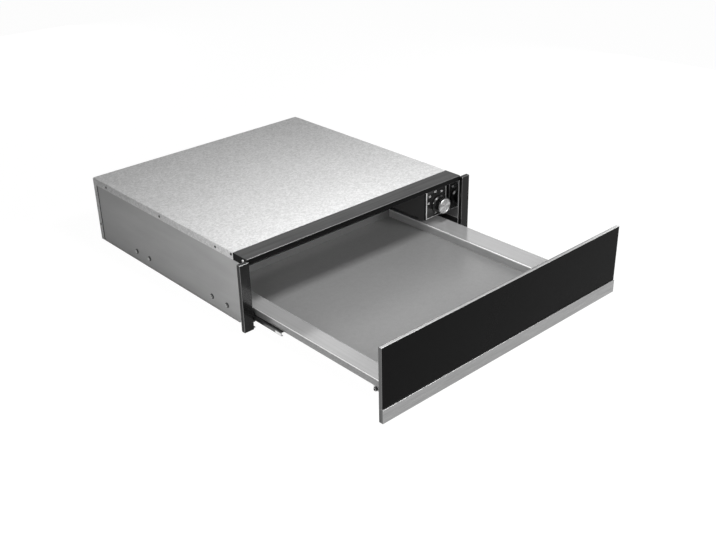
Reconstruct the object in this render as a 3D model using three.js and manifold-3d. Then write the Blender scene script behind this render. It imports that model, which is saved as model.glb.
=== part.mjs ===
// Built-in warming drawer: a shallow steel casing with a heated cavity, and a drawer on two
// telescopic runners, shown pulled open.
// Millimetres. +X to the right, +Y towards the back, +Z up. The origin is the middle of the
// casing's underside. Drawer pieces are drawn in the closed position and their group is moved out.

import * as THREE from 'three';
import { mergeVertices } from 'three/addons/utils/BufferGeometryUtils.js';
import Module from 'manifold-3d';

const wasm = await Module();
wasm.setup();

// ---------------------------------------------------------------- driving dimensions

const CASE_W = 540; // over the cover's side flanges
const CASE_H = 140;
const CASE_D = 526; // sheet metal only, without the trims
const SHEET = 1.0;
const SEAT = 0.2; // gap between pieces that rest on each other

const SIDE_FLANGE = 9; // side panels: folds that carry the cover and stand on the pan
const COVER_FLANGE = 14; // cover: fold down over each side panel
const BACK_FLANGE = 11; // back panel: fold forward round each side panel
const PAN_SETBACK = 35; // pan starts this far behind the casing's front edge
const PAN_LIP = 10;

const TRIM_W = 21;
const TRIM_T = 8.8;
const TRIM_OVERLAP = 1; // trim's inner edge inside the casing's outline
const TRIM_FOOT = 4.5; // trim's lower end above the underside
const TRIM_HEAD = 2.5; // trim's upper end below the top
const TRIM_CHAMFER = 0.8;
const MOUNT_LEG = 22; // flange leg along the casing's side
const MOUNT_INSET = 1; // flange is hidden this much behind the trim

const BAR_DEPTH = 37; // bar's back edge behind the casing's front edge
const BAR_NOSE_AHEAD = 2.5; // nose stands ahead of the casing's front edge
const BAR_NOSE_T = 2.3;
const BAR_NOSE_H = 11;
const BAR_CHAMFER = 0.8;
const NOSE_SIDE_GAP = 1.4;

const STAY_IN = 180; // drawer travel is this much less than the casing's depth
const CLOSED_GAP = 2.5; // panel's back to the trims' front when closed
const PANEL_OVERHANG = 27; // panel past the casing on each side
const PANEL_FOOT = 2.5;
const PANEL_HEAD = 3.5;
const PANEL_PLATE = 2.3;
const PANEL_LIP = 1.0; // bright edge round the glass
const GLASS_T = 4.0;
const STRIP_H = 25;
const STRIP_PROUD = 2.0;
const LINER_DEPTH = 12;
const LINER_INSET = 20; // liner's ends inside the casing's outline
const LINER_HEAD = 20; // liner's top below the casing's top

const TRAY_RUN_GAP = 0.6; // tray's outer edge to the casing's runner channel
const TRAY_BACK_GAP = 37.5; // closed tray's back edge to the casing's back
const RIM_Z = 39;
const RIM_LEFT = 36;
const RIM_RIGHT = 51;
const SKIRT_H = 13;
const TUB_DEPTH = 17.2;
const WELD = 0.3; // end walls stand this far inside the tray's edges
const PLATE_T = 1.0;
const PLATE_GAP = 0.6;

const RUN_DROP = 1.0; // runner slide's web below the tray's skirt
const RUN_H = 11;
const RUN_D = 9;
const RUN_T = 1.2;
const RUN_GAP = 0.5; // running clearance of the ball tracks
const RUN_SIDE_GAP = 3.5; // room between the webs for the screws' tips
const RUN_START = 12; // channel starts behind the casing's front edge
const RUN_END = 64; // and ends before the back
const RUN_LIP = 3.6;
const SLIDE_BACK_GAP = 68; // slide's back end ahead of the channel's, drawer closed
const SLIDE_CLOSED = 94; // slide's front end behind the casing's front edge, drawer closed
const RAIL_W = 10.2;
const RAIL_BACK_GAP = 47; // rail's end ahead of the tray's back edge
const RAIL_REVEAL = 0.5; // rail's open side above the tray's skirt edge
const CAP_T = 10.8;
const CAP_ARM = 4.2;

const BRACKET_T = 2;
const BRACKET_L = 54;
const TOE_SHORT = 5; // bracket's toe is this much shorter than the left rim is wide
const BOLT_Y = 47.5; // bolt behind the panel's back
const BOLT_RUN_GAP = 0.3; // bolt's head below the channel's upper flange
const BOLT_HEAD_R = 4;
const BOLT_HEAD_H = 4.2;
const BOLT_R = 2.5;
const BOLT_L = 8;

const BUMPER_R = 5;
const BUMPER_T = 1.8;
const BUMPER_DROP = 16; // bumper's centre below the panel's top

const SCREW_R = 2.0;
const SCREW_HEAD_R = 3.8;
const SCREW_HEAD_H = 2.0;
const SCREW_HOLE_GAP = 0.3;
const SCREWS_AHEAD = [59, 106]; // front screws behind the channel's front end
const SCREWS_BEHIND = [128, 81]; // rear screws ahead of the channel's back end

const BOX_W = 66; // control box, from the casing's right outline
const BOX_L = 380;
const BOX_OVER_RIM = 10;
const FASCIA_SETBACK = 31; // fascia behind the casing's front edge
const FASCIA_T = 3;
const KNOB_IN = 30; // knob's axis from the casing's right outline
const KNOB_RISE = 28; // knob's axis above the control box's underside
const KNOB_R = 18;
const KNOB_SKIRT_T = 3;
const KNOB_GRIP_R = 14.5;
const KNOB_L = 19;
const CAP_R = 16.5;
const CAP_SHEET = 1.3;
const CAP_SKIRT = 4; // cap's rim behind the grip's face
const CAP_ROUND = 0.8;
const SPINDLE_R = 3;
const THERMO_W = 34;
const THERMO_D = 26;
const THERMO_H = 40;
const TURN_GAP = 0.3; // running clearance round turned shafts

const HEAT_LEFT_GAP = 50; // heater housing to the casing's left outline
const HEAT_RIGHT_GAP = 54; // heater housing to the control box
const HEAT_D = 60;
const HEAT_BACK = 12; // housing's back to the casing's back edge
const HEAT_OVER_RIM = 11;
const HEAT_TOP = 12;
const TAB_W = 18; // tabs that hold the housing on the back panel
const TAB_IN = 30;
const TAB_DROP = 6;
const GUARD_SLOTS = 9;
const GUARD_SLOT_W = 3.2;
const GUARD_MARGIN = 14; // outflow slots to the guard's ends
const GUARD_LAND = 24.8; // outflow slots to the element's ring
const ELEMENT_R = 3.2;
const ELEMENT_GAP = 2; // element's bend to the housing's inside
const ELEMENT_OPEN = 0.5; // radians from the ring's foot to each of its ends
const ELEMENT_TAIL = 12; // straight run of each end
const ELEMENT_STUB = 3; // ends stand out behind the housing
const ROTOR_GAP = 4; // rotor's blades inside the element's ring
const ROTOR_W = 16;
const ROTOR_BLADES = 12;
const ROTOR_DISC_T = 1.5;
const BLADE_T = 1.2;
const BLADE_DEPTH = 11; // blades run in from the rotor's edge
const BLADE_EDGE = 0.5; // blades end inside the disc's edge
const HUB_T = 3;
const SHAFT_SHORT = 6; // shaft's end ahead of the motor's back
const BLIND_WALL = 4; // wall left behind a blind hole
const MOTOR_GAP = 9.6; // motor inside the element's ring
const MOTOR_L = 22;
const MOTOR_SHAFT_R = 2.5;
const CUTOUT_R = 8;
const CUTOUT_H = 6;
const CUTOUT_IN = 74; // cut-out from the housing's right end

const LATCH_IN = 120; // latch from the casing's left outline
const LATCH_W = 24;
const LATCH_H = 12;
const LATCH_TIP = 0.5; // plunger's tip to the closed tray
const LATCH_STROKE = 8;
const LATCH_SPARE = 1; // plunger's room past its stroke
const PLUNGER_R = 3.5;

const GLAND_IN = 85; // gland from the casing's right outline
const GLAND_DROP = 40; // gland below the casing's top
const GLAND_R = 9;
const GLAND_BORE_R = 4;
const GLAND_L = 14;
const GLAND_NECK_R = 6;
const GLAND_FLANGE_T = 4;
const GLAND_INSIDE = 5;
const TERMINAL_GAP = 6; // terminal block beside the gland
const TERMINAL_W = 50;
const TERMINAL_D = 16;
const TERMINAL_H = 24;
const LOOM_R = 3;
const LOOM_LEAD = 40; // straight run of each end of the loom
const LOOM_SWAY = 6;

const ROUND = 24; // facets round a small turned piece
const FINE = 40; // facets round the knob and fan

// ---------------------------------------------------------------- places worked out from them

const HALF_W = CASE_W / 2;
const FRONT = -CASE_D / 2;
const BACK = CASE_D / 2;
const TRIM_FRONT = FRONT - SEAT - TRIM_T;
const SIDE_OUT = HALF_W - SHEET - SEAT;
const SIDE_IN = SIDE_OUT - SHEET;
const PAN_TOP = SHEET;
const UNDER_COVER = CASE_H - SHEET;
const SIDE_TOP = UNDER_COVER - SEAT;
const BAR_BACK = FRONT + BAR_DEPTH;
const OPEN = CASE_D - STAY_IN;

const PANEL_BACK = TRIM_FRONT - CLOSED_GAP;
const PANEL_HALF = HALF_W + PANEL_OVERHANG;
const PANEL_TOP = CASE_H - PANEL_HEAD;
const PLATE_FRONT = PANEL_BACK - PANEL_PLATE;
const PANEL_FRONT = PLATE_FRONT - SEAT - GLASS_T;
const STRIP_TOP = PANEL_FOOT + STRIP_H;

const CHANNEL_OUT = SIDE_IN - SEAT;
const CHANNEL_IN = CHANNEL_OUT - RUN_D;
const TRAY_HALF = CHANNEL_IN - TRAY_RUN_GAP;
const TUB_LEFT = -TRAY_HALF + RIM_LEFT;
const TUB_RIGHT = TRAY_HALF - RIM_RIGHT;
const SKIRT_Z = RIM_Z - SKIRT_H;
const FLOOR_Z = RIM_Z - TUB_DEPTH;
const TRAY_FRONT = PANEL_BACK + SEAT;
const TRAY_BACK = BACK - TRAY_BACK_GAP;

const SLIDE_WEB = SKIRT_Z - RUN_DROP;
const CHANNEL_HIGH = SLIDE_WEB + RUN_GAP + RUN_T;
const CHANNEL_LOW = CHANNEL_HIGH - RUN_H;
const CHANNEL_Y0 = FRONT + RUN_START;
const CHANNEL_Y1 = BACK - RUN_END;
const RUN_Z = (CHANNEL_LOW + CHANNEL_HIGH) / 2;
const SCREW_YS = [
  ...SCREWS_AHEAD.map((along) => CHANNEL_Y0 + along),
  ...SCREWS_BEHIND.map((along) => CHANNEL_Y1 - along),
];
const SLIDE_OUT = CHANNEL_OUT - RUN_T - RUN_SIDE_GAP;
const SLIDE_LOW = CHANNEL_LOW + RUN_T + RUN_GAP;
const BRACKET_OUT = TRAY_HALF - SHEET - SEAT;
const RAIL_OUT = BRACKET_OUT - BRACKET_T - SEAT;
const RAIL_IN = RAIL_OUT - RAIL_W;
const RAIL_TOP = RIM_Z - SHEET - SEAT;
const RAIL_LOW = SKIRT_Z + RAIL_REVEAL;
const SLIDE_TOP = RAIL_TOP - RUN_T - RUN_GAP;
const SLIDE_FIN = (RAIL_OUT + RAIL_IN) / 2 + RUN_T / 2;
const BOLT_Z = CHANNEL_HIGH - RUN_T - BOLT_RUN_GAP - BOLT_HEAD_R;
const BRACKET_FOOT = BOLT_Z - BOLT_HEAD_R;

const BOX_IN = HALF_W - BOX_W;
const BOX_LOW = RIM_Z + BOX_OVER_RIM;
const FASCIA_FRONT = FRONT + FASCIA_SETBACK;
const FASCIA_BACK = FASCIA_FRONT + FASCIA_T;
const KNOB_X = HALF_W - KNOB_IN;
const KNOB_Z = BOX_LOW + KNOB_RISE;
const KNOB_BACK = FASCIA_FRONT - 2 * TURN_GAP;

const HEAT_X0 = -HALF_W + HEAT_LEFT_GAP;
const HEAT_X1 = BOX_IN - HEAT_RIGHT_GAP;
const HEAT_X = (HEAT_X0 + HEAT_X1) / 2;
const HEAT_LOW = RIM_Z + HEAT_OVER_RIM;
const HEAT_HIGH = CASE_H - HEAT_TOP;
const HEAT_MID = (HEAT_LOW + HEAT_HIGH) / 2;
const HEAT_Y1 = BACK - HEAT_BACK;
const HEAT_Y0 = HEAT_Y1 - HEAT_D;
const RING_R = (HEAT_HIGH - HEAT_LOW) / 2 - SHEET - ELEMENT_GAP - ELEMENT_R;
const ROTOR_R = RING_R - ELEMENT_R - ROTOR_GAP;
const MOTOR_R = RING_R - ELEMENT_R - MOTOR_GAP;
const MOTOR_BACK = HEAT_Y1 - SHEET - SEAT;
const MOTOR_FRONT = MOTOR_BACK - MOTOR_L;
const TAIL_X = RING_R * Math.sin(ELEMENT_OPEN);
const TAIL_Z = HEAT_MID - RING_R * Math.cos(ELEMENT_OPEN);

const LATCH_X = -HALF_W + LATCH_IN;
const LATCH_Z = (SKIRT_Z + RIM_Z) / 2;
const LATCH_FRONT = TRAY_BACK + LATCH_TIP + LATCH_STROKE + LATCH_SPARE;
const LATCH_BACK = BACK - SHEET - SEAT;

const GLAND_X = HALF_W - GLAND_IN;
const GLAND_Z = CASE_H - GLAND_DROP;
const TERMINAL_X = GLAND_X + GLAND_R + TERMINAL_GAP;
const TERMINAL_BACK = BACK - SHEET - SEAT;
const TERMINAL_FRONT = TERMINAL_BACK - TERMINAL_D;

// ---------------------------------------------------------------- finishes

function finish(color, roughness, metalness) {
  return new THREE.MeshStandardMaterial({ color, roughness, metalness });
}

const galvanised = finish(0xb9bbbc, 0.45, 0.9);
const steel = finish(0xa9abad, 0.3, 1.0);
const satin = finish(0x8b8c8d, 0.38, 0.9);
const darkMetal = finish(0x2c2d2f, 0.4, 0.7);
const barGrey = finish(0x47494b, 0.5, 0.4);
const blackGloss = finish(0x0b0b0c, 0.15, 0.0);
const blackGlass = finish(0x111213, 0.08, 0.0);
const blackPlastic = finish(0x141415, 0.5, 0.0);
const aluminium = finish(0xc8c9ca, 0.28, 1.0);
const rubber = finish(0x3a3a3b, 0.8, 0.0);
const ceramic = finish(0xd9d4c8, 0.7, 0.0);
const loomGrey = finish(0x6b6b6c, 0.7, 0.0);

// ---------------------------------------------------------------- shape helpers

// Merges shared corners and makes the faces point outwards.
function closed(geometry) {
  const bare = geometry.clone();
  bare.deleteAttribute('normal');
  bare.deleteAttribute('uv');
  const welded = mergeVertices(bare, 1e-4);
  const p = welded.attributes.position;
  const index = welded.index.array;
  const a = new THREE.Vector3();
  const b = new THREE.Vector3();
  const c = new THREE.Vector3();
  let volume = 0;
  for (let i = 0; i < index.length; i += 3) {
    a.fromBufferAttribute(p, index[i]);
    b.fromBufferAttribute(p, index[i + 1]);
    c.fromBufferAttribute(p, index[i + 2]);
    volume += a.dot(b.cross(c));
  }
  if (volume < 0) {
    for (let i = 0; i < index.length; i += 3) {
      const first = index[i];
      index[i] = index[i + 1];
      index[i + 1] = first;
    }
  }
  return welded;
}

function solid(geometry) {
  const mesh = closed(geometry);
  return new wasm.Manifold(new wasm.Mesh({
    numProp: 3,
    vertProperties: new Float32Array(mesh.attributes.position.array),
    triVerts: new Uint32Array(mesh.index.array),
  }));
}

function fromSolid(body) {
  const mesh = body.getMesh();
  const geometry = new THREE.BufferGeometry();
  geometry.setAttribute('position', new THREE.BufferAttribute(mesh.vertProperties, 3));
  geometry.setIndex(new THREE.BufferAttribute(mesh.triVerts, 1));
  return geometry;
}

function join(...shapes) {
  return fromSolid(shapes.map(solid).reduce((whole, piece) => whole.add(piece)));
}

function cut(shape, ...tools) {
  return fromSolid(tools.map(solid).reduce((whole, tool) => whole.subtract(tool), solid(shape)));
}

// A box between two corners, given in any order.
function block(x0, x1, y0, y1, z0, z1) {
  const box = new THREE.BoxGeometry(Math.abs(x1 - x0), Math.abs(y1 - y0), Math.abs(z1 - z0));
  return box.translate((x0 + x1) / 2, (y0 + y1) / 2, (z0 + z1) / 2);
}

function outline(points) {
  return new THREE.Shape(points.map(([u, v]) => new THREE.Vector2(u, v)));
}

// An (x, z) section drawn along Y.
function alongY(points, y0, y1) {
  const bar = new THREE.ExtrudeGeometry(outline(points), { depth: y1 - y0, bevelEnabled: false });
  return bar.rotateX(Math.PI / 2).translate(0, y1, 0);
}

// A (y, z) section drawn along X.
function alongX(points, x0, x1) {
  const bar = new THREE.ExtrudeGeometry(outline(points), { depth: x1 - x0, bevelEnabled: false });
  const turn = new THREE.Matrix4().makeBasis(
    new THREE.Vector3(0, 1, 0),
    new THREE.Vector3(0, 0, 1),
    new THREE.Vector3(1, 0, 0),
  );
  return bar.applyMatrix4(turn).translate(x0, 0, 0);
}

// An (x, y) section drawn along Z.
function alongZ(points, z0, z1) {
  const bar = new THREE.ExtrudeGeometry(outline(points), { depth: z1 - z0, bevelEnabled: false });
  return bar.translate(0, 0, z0);
}

// A rod along Y.
function rodY(x, z, radius, y0, y1, facets = ROUND) {
  const rod = new THREE.CylinderGeometry(radius, radius, Math.abs(y1 - y0), facets);
  return rod.translate(x, (y0 + y1) / 2, z);
}

// A rod along X.
function rodX(y, z, radius, x0, x1, facets = ROUND) {
  const rod = new THREE.CylinderGeometry(radius, radius, Math.abs(x1 - x0), facets);
  return rod.rotateZ(Math.PI / 2).translate((x0 + x1) / 2, y, z);
}

// A turned piece about Y from its (radius, y) profile, which starts and ends on the axis.
function turned(points, facets = ROUND) {
  return new THREE.LatheGeometry(points.map(([r, y]) => new THREE.Vector2(r, y)), facets);
}

// A section given for the right-hand side, mirrored for the left.
function sided(points, side) {
  return points.map(([x, other]) => [x * side, other]);
}

function part(name, geometry, material) {
  const shape = closed(geometry);
  shape.computeVertexNormals();
  const mesh = new THREE.Mesh(shape, material);
  mesh.name = name;
  return mesh;
}

const SIDES = [['left', -1], ['right', 1]];

// ---------------------------------------------------------------- casing

function basePan() {
  const y0 = FRONT + PAN_SETBACK;
  const lipHalf = CHANNEL_IN - SIDE_FLANGE;
  return join(
    block(-SIDE_OUT, SIDE_OUT, y0, BACK, 0, PAN_TOP),
    block(-lipHalf, lipHalf, y0, y0 + SHEET, 0, PAN_TOP + PAN_LIP),
  );
}

function runnerScrewTools(side, x0, x1) {
  return SCREW_YS.map((y) => rodX(
    y,
    RUN_Z,
    SCREW_R + SCREW_HOLE_GAP,
    side * x0,
    side * x1,
    12,
  ));
}

function sidePanel(side) {
  const z0 = PAN_TOP + SEAT;
  const fold = SIDE_OUT - SIDE_FLANGE;
  const section = sided([
    [SIDE_OUT, z0],
    [SIDE_OUT, SIDE_TOP],
    [fold, SIDE_TOP],
    [fold, SIDE_TOP - SHEET],
    [SIDE_IN, SIDE_TOP - SHEET],
    [SIDE_IN, z0 + SHEET],
    [fold, z0 + SHEET],
    [fold, z0],
  ], side);
  const sheet = alongY(section, FRONT, BACK - SHEET - SEAT);
  return cut(sheet, ...runnerScrewTools(side, SIDE_IN - SHEET, SIDE_OUT + SHEET));
}

function backPanel() {
  const z0 = PAN_TOP + SEAT;
  const section = [
    [-HALF_W, BACK],
    [-HALF_W, BACK - BACK_FLANGE],
    [-HALF_W + SHEET, BACK - BACK_FLANGE],
    [-HALF_W + SHEET, BACK - SHEET],
    [HALF_W - SHEET, BACK - SHEET],
    [HALF_W - SHEET, BACK - BACK_FLANGE],
    [HALF_W, BACK - BACK_FLANGE],
    [HALF_W, BACK],
  ];
  const hole = rodY(GLAND_X, GLAND_Z, GLAND_NECK_R + SEAT, BACK - 2 * SHEET, BACK + SHEET);
  return cut(alongZ(section, z0, SIDE_TOP), hole);
}

function topCover() {
  const y0 = BAR_BACK + SEAT;
  const flangeEnd = BACK - BACK_FLANGE - SEAT;
  const flanges = SIDES.map(([, side]) => block(
    side * (HALF_W - SHEET),
    side * HALF_W,
    y0,
    flangeEnd,
    CASE_H - COVER_FLANGE,
    CASE_H,
  ));
  return join(block(-HALF_W, HALF_W, y0, BACK, UNDER_COVER, CASE_H), ...flanges);
}

function topTrimBar() {
  const noseFront = FRONT - BAR_NOSE_AHEAD;
  const noseBack = noseFront + BAR_NOSE_T;
  const noseHalf = HALF_W - NOSE_SIDE_GAP;
  const nose = [
    [noseFront, CASE_H - BAR_NOSE_H],
    [noseFront, CASE_H - BAR_CHAMFER],
    [noseFront + BAR_CHAMFER, CASE_H],
    [noseBack, CASE_H],
    [noseBack, CASE_H - BAR_NOSE_H],
  ];
  const flanges = SIDES.map(([, side]) => block(
    side * (HALF_W - SHEET),
    side * HALF_W,
    FRONT + SEAT,
    BAR_BACK,
    CASE_H - COVER_FLANGE,
    CASE_H,
  ));
  return join(
    block(-HALF_W, HALF_W, FRONT + SEAT, BAR_BACK, UNDER_COVER, CASE_H),
    block(-noseHalf, noseHalf, noseBack - SHEET, FRONT + SHEET, UNDER_COVER, CASE_H),
    alongX(nose, -noseHalf, noseHalf),
    ...flanges,
  );
}

function mountFlange(side) {
  const out = HALF_W - TRIM_OVERLAP + TRIM_W - MOUNT_INSET;
  const section = sided([
    [HALF_W - SHEET, FRONT],
    [out, FRONT],
    [out, FRONT + SHEET],
    [HALF_W, FRONT + SHEET],
    [HALF_W, FRONT + MOUNT_LEG],
    [HALF_W - SHEET, FRONT + MOUNT_LEG],
  ], side);
  return alongZ(section, TRIM_FOOT + MOUNT_INSET, CASE_H - COVER_FLANGE - SEAT);
}

function sideTrim(side) {
  const x0 = HALF_W - TRIM_OVERLAP;
  const x1 = x0 + TRIM_W;
  const y1 = FRONT - SEAT;
  const section = sided([
    [x0, y1],
    [x0, TRIM_FRONT + TRIM_CHAMFER],
    [x0 + TRIM_CHAMFER, TRIM_FRONT],
    [x1 - TRIM_CHAMFER, TRIM_FRONT],
    [x1, TRIM_FRONT + TRIM_CHAMFER],
    [x1, y1],
  ], side);
  return alongZ(section, TRIM_FOOT, CASE_H - TRIM_HEAD);
}

// ---------------------------------------------------------------- runners

function runnerChannel(side) {
  const section = sided([
    [CHANNEL_OUT, CHANNEL_LOW],
    [CHANNEL_OUT, CHANNEL_HIGH],
    [CHANNEL_IN, CHANNEL_HIGH],
    [CHANNEL_IN, CHANNEL_HIGH - RUN_T],
    [CHANNEL_OUT - RUN_T, CHANNEL_HIGH - RUN_T],
    [CHANNEL_OUT - RUN_T, CHANNEL_LOW + RUN_T],
    [CHANNEL_IN, CHANNEL_LOW + RUN_T],
    [CHANNEL_IN, CHANNEL_LOW],
  ], side);
  const channel = alongY(section, CHANNEL_Y0, CHANNEL_Y1);
  return cut(channel, ...runnerScrewTools(side, CHANNEL_OUT - 2 * RUN_T, CHANNEL_OUT + RUN_T));
}

function runnerCap(side) {
  const low = CHANNEL_LOW + RUN_T - CAP_ARM;
  const high = CHANNEL_HIGH - RUN_T + SEAT + CAP_ARM;
  const section = sided([
    [CHANNEL_OUT, low],
    [CHANNEL_OUT, high],
    [CHANNEL_IN, high],
    [CHANNEL_IN, high - CAP_ARM],
    [CHANNEL_OUT - RUN_T, high - CAP_ARM],
    [CHANNEL_OUT - RUN_T, low + CAP_ARM],
    [CHANNEL_IN, low + CAP_ARM],
    [CHANNEL_IN, low],
  ], side);
  return alongY(section, CHANNEL_Y0 - SEAT - CAP_T, CHANNEL_Y0 - SEAT);
}

function runnerSlide(side) {
  const fin = SLIDE_FIN - RUN_T;
  const section = sided([
    [SLIDE_OUT - RUN_LIP, SLIDE_LOW],
    [SLIDE_OUT, SLIDE_LOW],
    [SLIDE_OUT, SLIDE_WEB],
    [SLIDE_FIN, SLIDE_WEB],
    [SLIDE_FIN, SLIDE_TOP],
    [fin, SLIDE_TOP],
    [fin, SLIDE_WEB - RUN_T],
    [SLIDE_OUT - RUN_T, SLIDE_WEB - RUN_T],
    [SLIDE_OUT - RUN_T, SLIDE_LOW + RUN_T],
    [SLIDE_OUT - RUN_LIP, SLIDE_LOW + RUN_T],
  ], side);
  return alongY(section, FRONT + SLIDE_CLOSED, CHANNEL_Y1 - SLIDE_BACK_GAP);
}

function drawerRail(side) {
  const section = sided([
    [RAIL_OUT, RAIL_LOW],
    [RAIL_OUT, RAIL_TOP],
    [RAIL_IN, RAIL_TOP],
    [RAIL_IN, RAIL_LOW],
    [RAIL_IN + RUN_T, RAIL_LOW],
    [RAIL_IN + RUN_T, RAIL_TOP - RUN_T],
    [RAIL_OUT - RUN_T, RAIL_TOP - RUN_T],
    [RAIL_OUT - RUN_T, RAIL_LOW],
  ], side);
  return alongY(section, TRAY_FRONT + BRACKET_T + SHEET, TRAY_BACK - RAIL_BACK_GAP);
}

// Pan-head screw along X, with its head outside the side panel.
function runnerScrew(side, y) {
  const tip = CHANNEL_OUT - RUN_T - SEAT;
  const seat = SIDE_OUT + SEAT;
  const profile = [
    [0, tip],
    [SCREW_R, tip],
    [SCREW_R, seat],
    [SCREW_HEAD_R, seat],
    [SCREW_HEAD_R, seat + SCREW_HEAD_H * 0.5],
    [SCREW_HEAD_R * 0.7, seat + SCREW_HEAD_H * 0.9],
    [0, seat + SCREW_HEAD_H],
  ];
  const screw = turned(profile, 16).rotateZ(-side * Math.PI / 2);
  return screw.translate(0, y, RUN_Z);
}

// ---------------------------------------------------------------- drawer

function drawerTray() {
  const lowZ = FLOOR_Z - SHEET;
  const under = RIM_Z - SHEET;
  const section = [
    [-TRAY_HALF, SKIRT_Z],
    [-TRAY_HALF, RIM_Z],
    [TUB_LEFT, RIM_Z],
    [TUB_LEFT, FLOOR_Z],
    [TUB_RIGHT, FLOOR_Z],
    [TUB_RIGHT, RIM_Z],
    [TRAY_HALF, RIM_Z],
    [TRAY_HALF, SKIRT_Z],
    [TRAY_HALF - SHEET, SKIRT_Z],
    [TRAY_HALF - SHEET, under],
    [TUB_RIGHT + SHEET, under],
    [TUB_RIGHT + SHEET, lowZ],
    [TUB_LEFT - SHEET, lowZ],
    [TUB_LEFT - SHEET, under],
    [-TRAY_HALF + SHEET, under],
    [-TRAY_HALF + SHEET, SKIRT_Z],
  ];
  const wall = (y0) => block(
    TUB_LEFT - SHEET / 2,
    TUB_RIGHT + SHEET / 2,
    y0,
    y0 + SHEET,
    FLOOR_Z - SHEET / 2,
    RIM_Z - WELD,
  );
  return join(
    alongY(section, TRAY_FRONT, TRAY_BACK),
    wall(TRAY_FRONT + WELD),
    wall(TRAY_BACK - SHEET - WELD),
  );
}

function basePlate() {
  const z0 = FLOOR_Z + SEAT;
  return block(
    TUB_LEFT + PLATE_GAP,
    TUB_RIGHT - PLATE_GAP,
    TRAY_FRONT + SHEET + PLATE_GAP,
    TRAY_BACK - SHEET - PLATE_GAP,
    z0,
    z0 + PLATE_T,
  );
}

function frontBracket(side) {
  const y0 = PANEL_BACK + SEAT;
  const leg = block(
    side * (BRACKET_OUT - BRACKET_T),
    side * BRACKET_OUT,
    y0,
    y0 + BRACKET_L,
    BRACKET_FOOT,
    RAIL_TOP,
  );
  const toe = block(
    side * (BRACKET_OUT - RIM_LEFT + TOE_SHORT),
    side * BRACKET_OUT,
    y0,
    y0 + BRACKET_T,
    BRACKET_FOOT,
    SKIRT_Z,
  );
  const hole = rodX(
    PANEL_BACK + BOLT_Y,
    BOLT_Z,
    BOLT_R + SCREW_HOLE_GAP,
    side * (BRACKET_OUT - 2 * BRACKET_T),
    side * (BRACKET_OUT + BRACKET_T),
  );
  return cut(join(leg, toe), hole);
}

function bracketBolt(side) {
  const seat = BRACKET_OUT + SEAT;
  const head = seat + BOLT_HEAD_H;
  const profile = [
    [0, seat - BOLT_L],
    [BOLT_R, seat - BOLT_L],
    [BOLT_R, seat],
    [BOLT_HEAD_R, seat],
    [BOLT_HEAD_R, head - 1],
    [BOLT_HEAD_R - 1, head],
    [0, head],
  ];
  const bolt = turned(profile).rotateZ(-side * Math.PI / 2);
  return bolt.translate(0, PANEL_BACK + BOLT_Y, BOLT_Z);
}

function frontFrame() {
  const plate = block(-PANEL_HALF, PANEL_HALF, PLATE_FRONT, PANEL_BACK, PANEL_FOOT, PANEL_TOP);
  const lipLow = STRIP_TOP + SEAT;
  const sideLips = SIDES.map(([, side]) => block(
    side * (PANEL_HALF - PANEL_LIP),
    side * PANEL_HALF,
    PANEL_FRONT,
    PANEL_BACK,
    lipLow,
    PANEL_TOP,
  ));
  const topLip = block(
    -PANEL_HALF,
    PANEL_HALF,
    PANEL_FRONT,
    PANEL_BACK,
    PANEL_TOP - PANEL_LIP,
    PANEL_TOP,
  );
  return join(plate, topLip, ...sideLips);
}

function frontGlass() {
  const half = PANEL_HALF - PANEL_LIP - SEAT;
  return block(
    -half,
    half,
    PANEL_FRONT,
    PANEL_FRONT + GLASS_T,
    STRIP_TOP + SEAT,
    PANEL_TOP - PANEL_LIP - SEAT,
  );
}

function frontStrip() {
  return block(
    -PANEL_HALF,
    PANEL_HALF,
    PANEL_FRONT - STRIP_PROUD,
    PLATE_FRONT - SEAT,
    PANEL_FOOT,
    STRIP_TOP,
  );
}

// Folded pan that stiffens the panel and closes the cavity's mouth.
function panelLiner() {
  const half = HALF_W - LINER_INSET;
  const y0 = PANEL_BACK + SEAT;
  const y1 = y0 + LINER_DEPTH;
  const z0 = RIM_Z + SEAT;
  const z1 = CASE_H - LINER_HEAD;
  return cut(
    block(-half, half, y0, y1, z0, z1),
    block(-half + SHEET, half - SHEET, y0 - SHEET, y1 - SHEET, z0 + SHEET, z1 - SHEET),
  );
}

function bumper(side) {
  const x = side * (HALF_W + TRIM_W / 2);
  const y0 = PANEL_BACK + SEAT;
  return rodY(x, PANEL_TOP - BUMPER_DROP, BUMPER_R, y0, y0 + BUMPER_T);
}

// ---------------------------------------------------------------- controls

function controlBox() {
  const y0 = FASCIA_BACK + SEAT;
  const right = SIDE_IN - SEAT;
  return join(
    block(BOX_IN, BOX_IN + SHEET, y0, y0 + BOX_L, BOX_LOW, SIDE_TOP - SEAT),
    block(BOX_IN, right, y0, y0 + BOX_L, BOX_LOW, BOX_LOW + SHEET),
  );
}

function controlFascia() {
  const plate = block(
    BOX_IN,
    SIDE_IN - SEAT,
    FASCIA_FRONT,
    FASCIA_BACK,
    BOX_LOW,
    SIDE_TOP - 2 * SHEET,
  );
  const hole = rodY(
    KNOB_X,
    KNOB_Z,
    SPINDLE_R + 2 * TURN_GAP,
    FASCIA_FRONT - FASCIA_T,
    FASCIA_BACK + FASCIA_T,
  );
  return cut(plate, hole);
}

function thermostatBody() {
  const y0 = FASCIA_BACK + SEAT;
  const hole = rodY(KNOB_X, KNOB_Z, SPINDLE_R + TURN_GAP, y0 - SHEET, y0 + THERMO_D - BLIND_WALL);
  const body = block(
    KNOB_X - THERMO_W / 2,
    KNOB_X + THERMO_W / 2,
    y0,
    y0 + THERMO_D,
    KNOB_Z - THERMO_H / 2,
    KNOB_Z + THERMO_H / 2,
  );
  return cut(body, hole);
}

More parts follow.
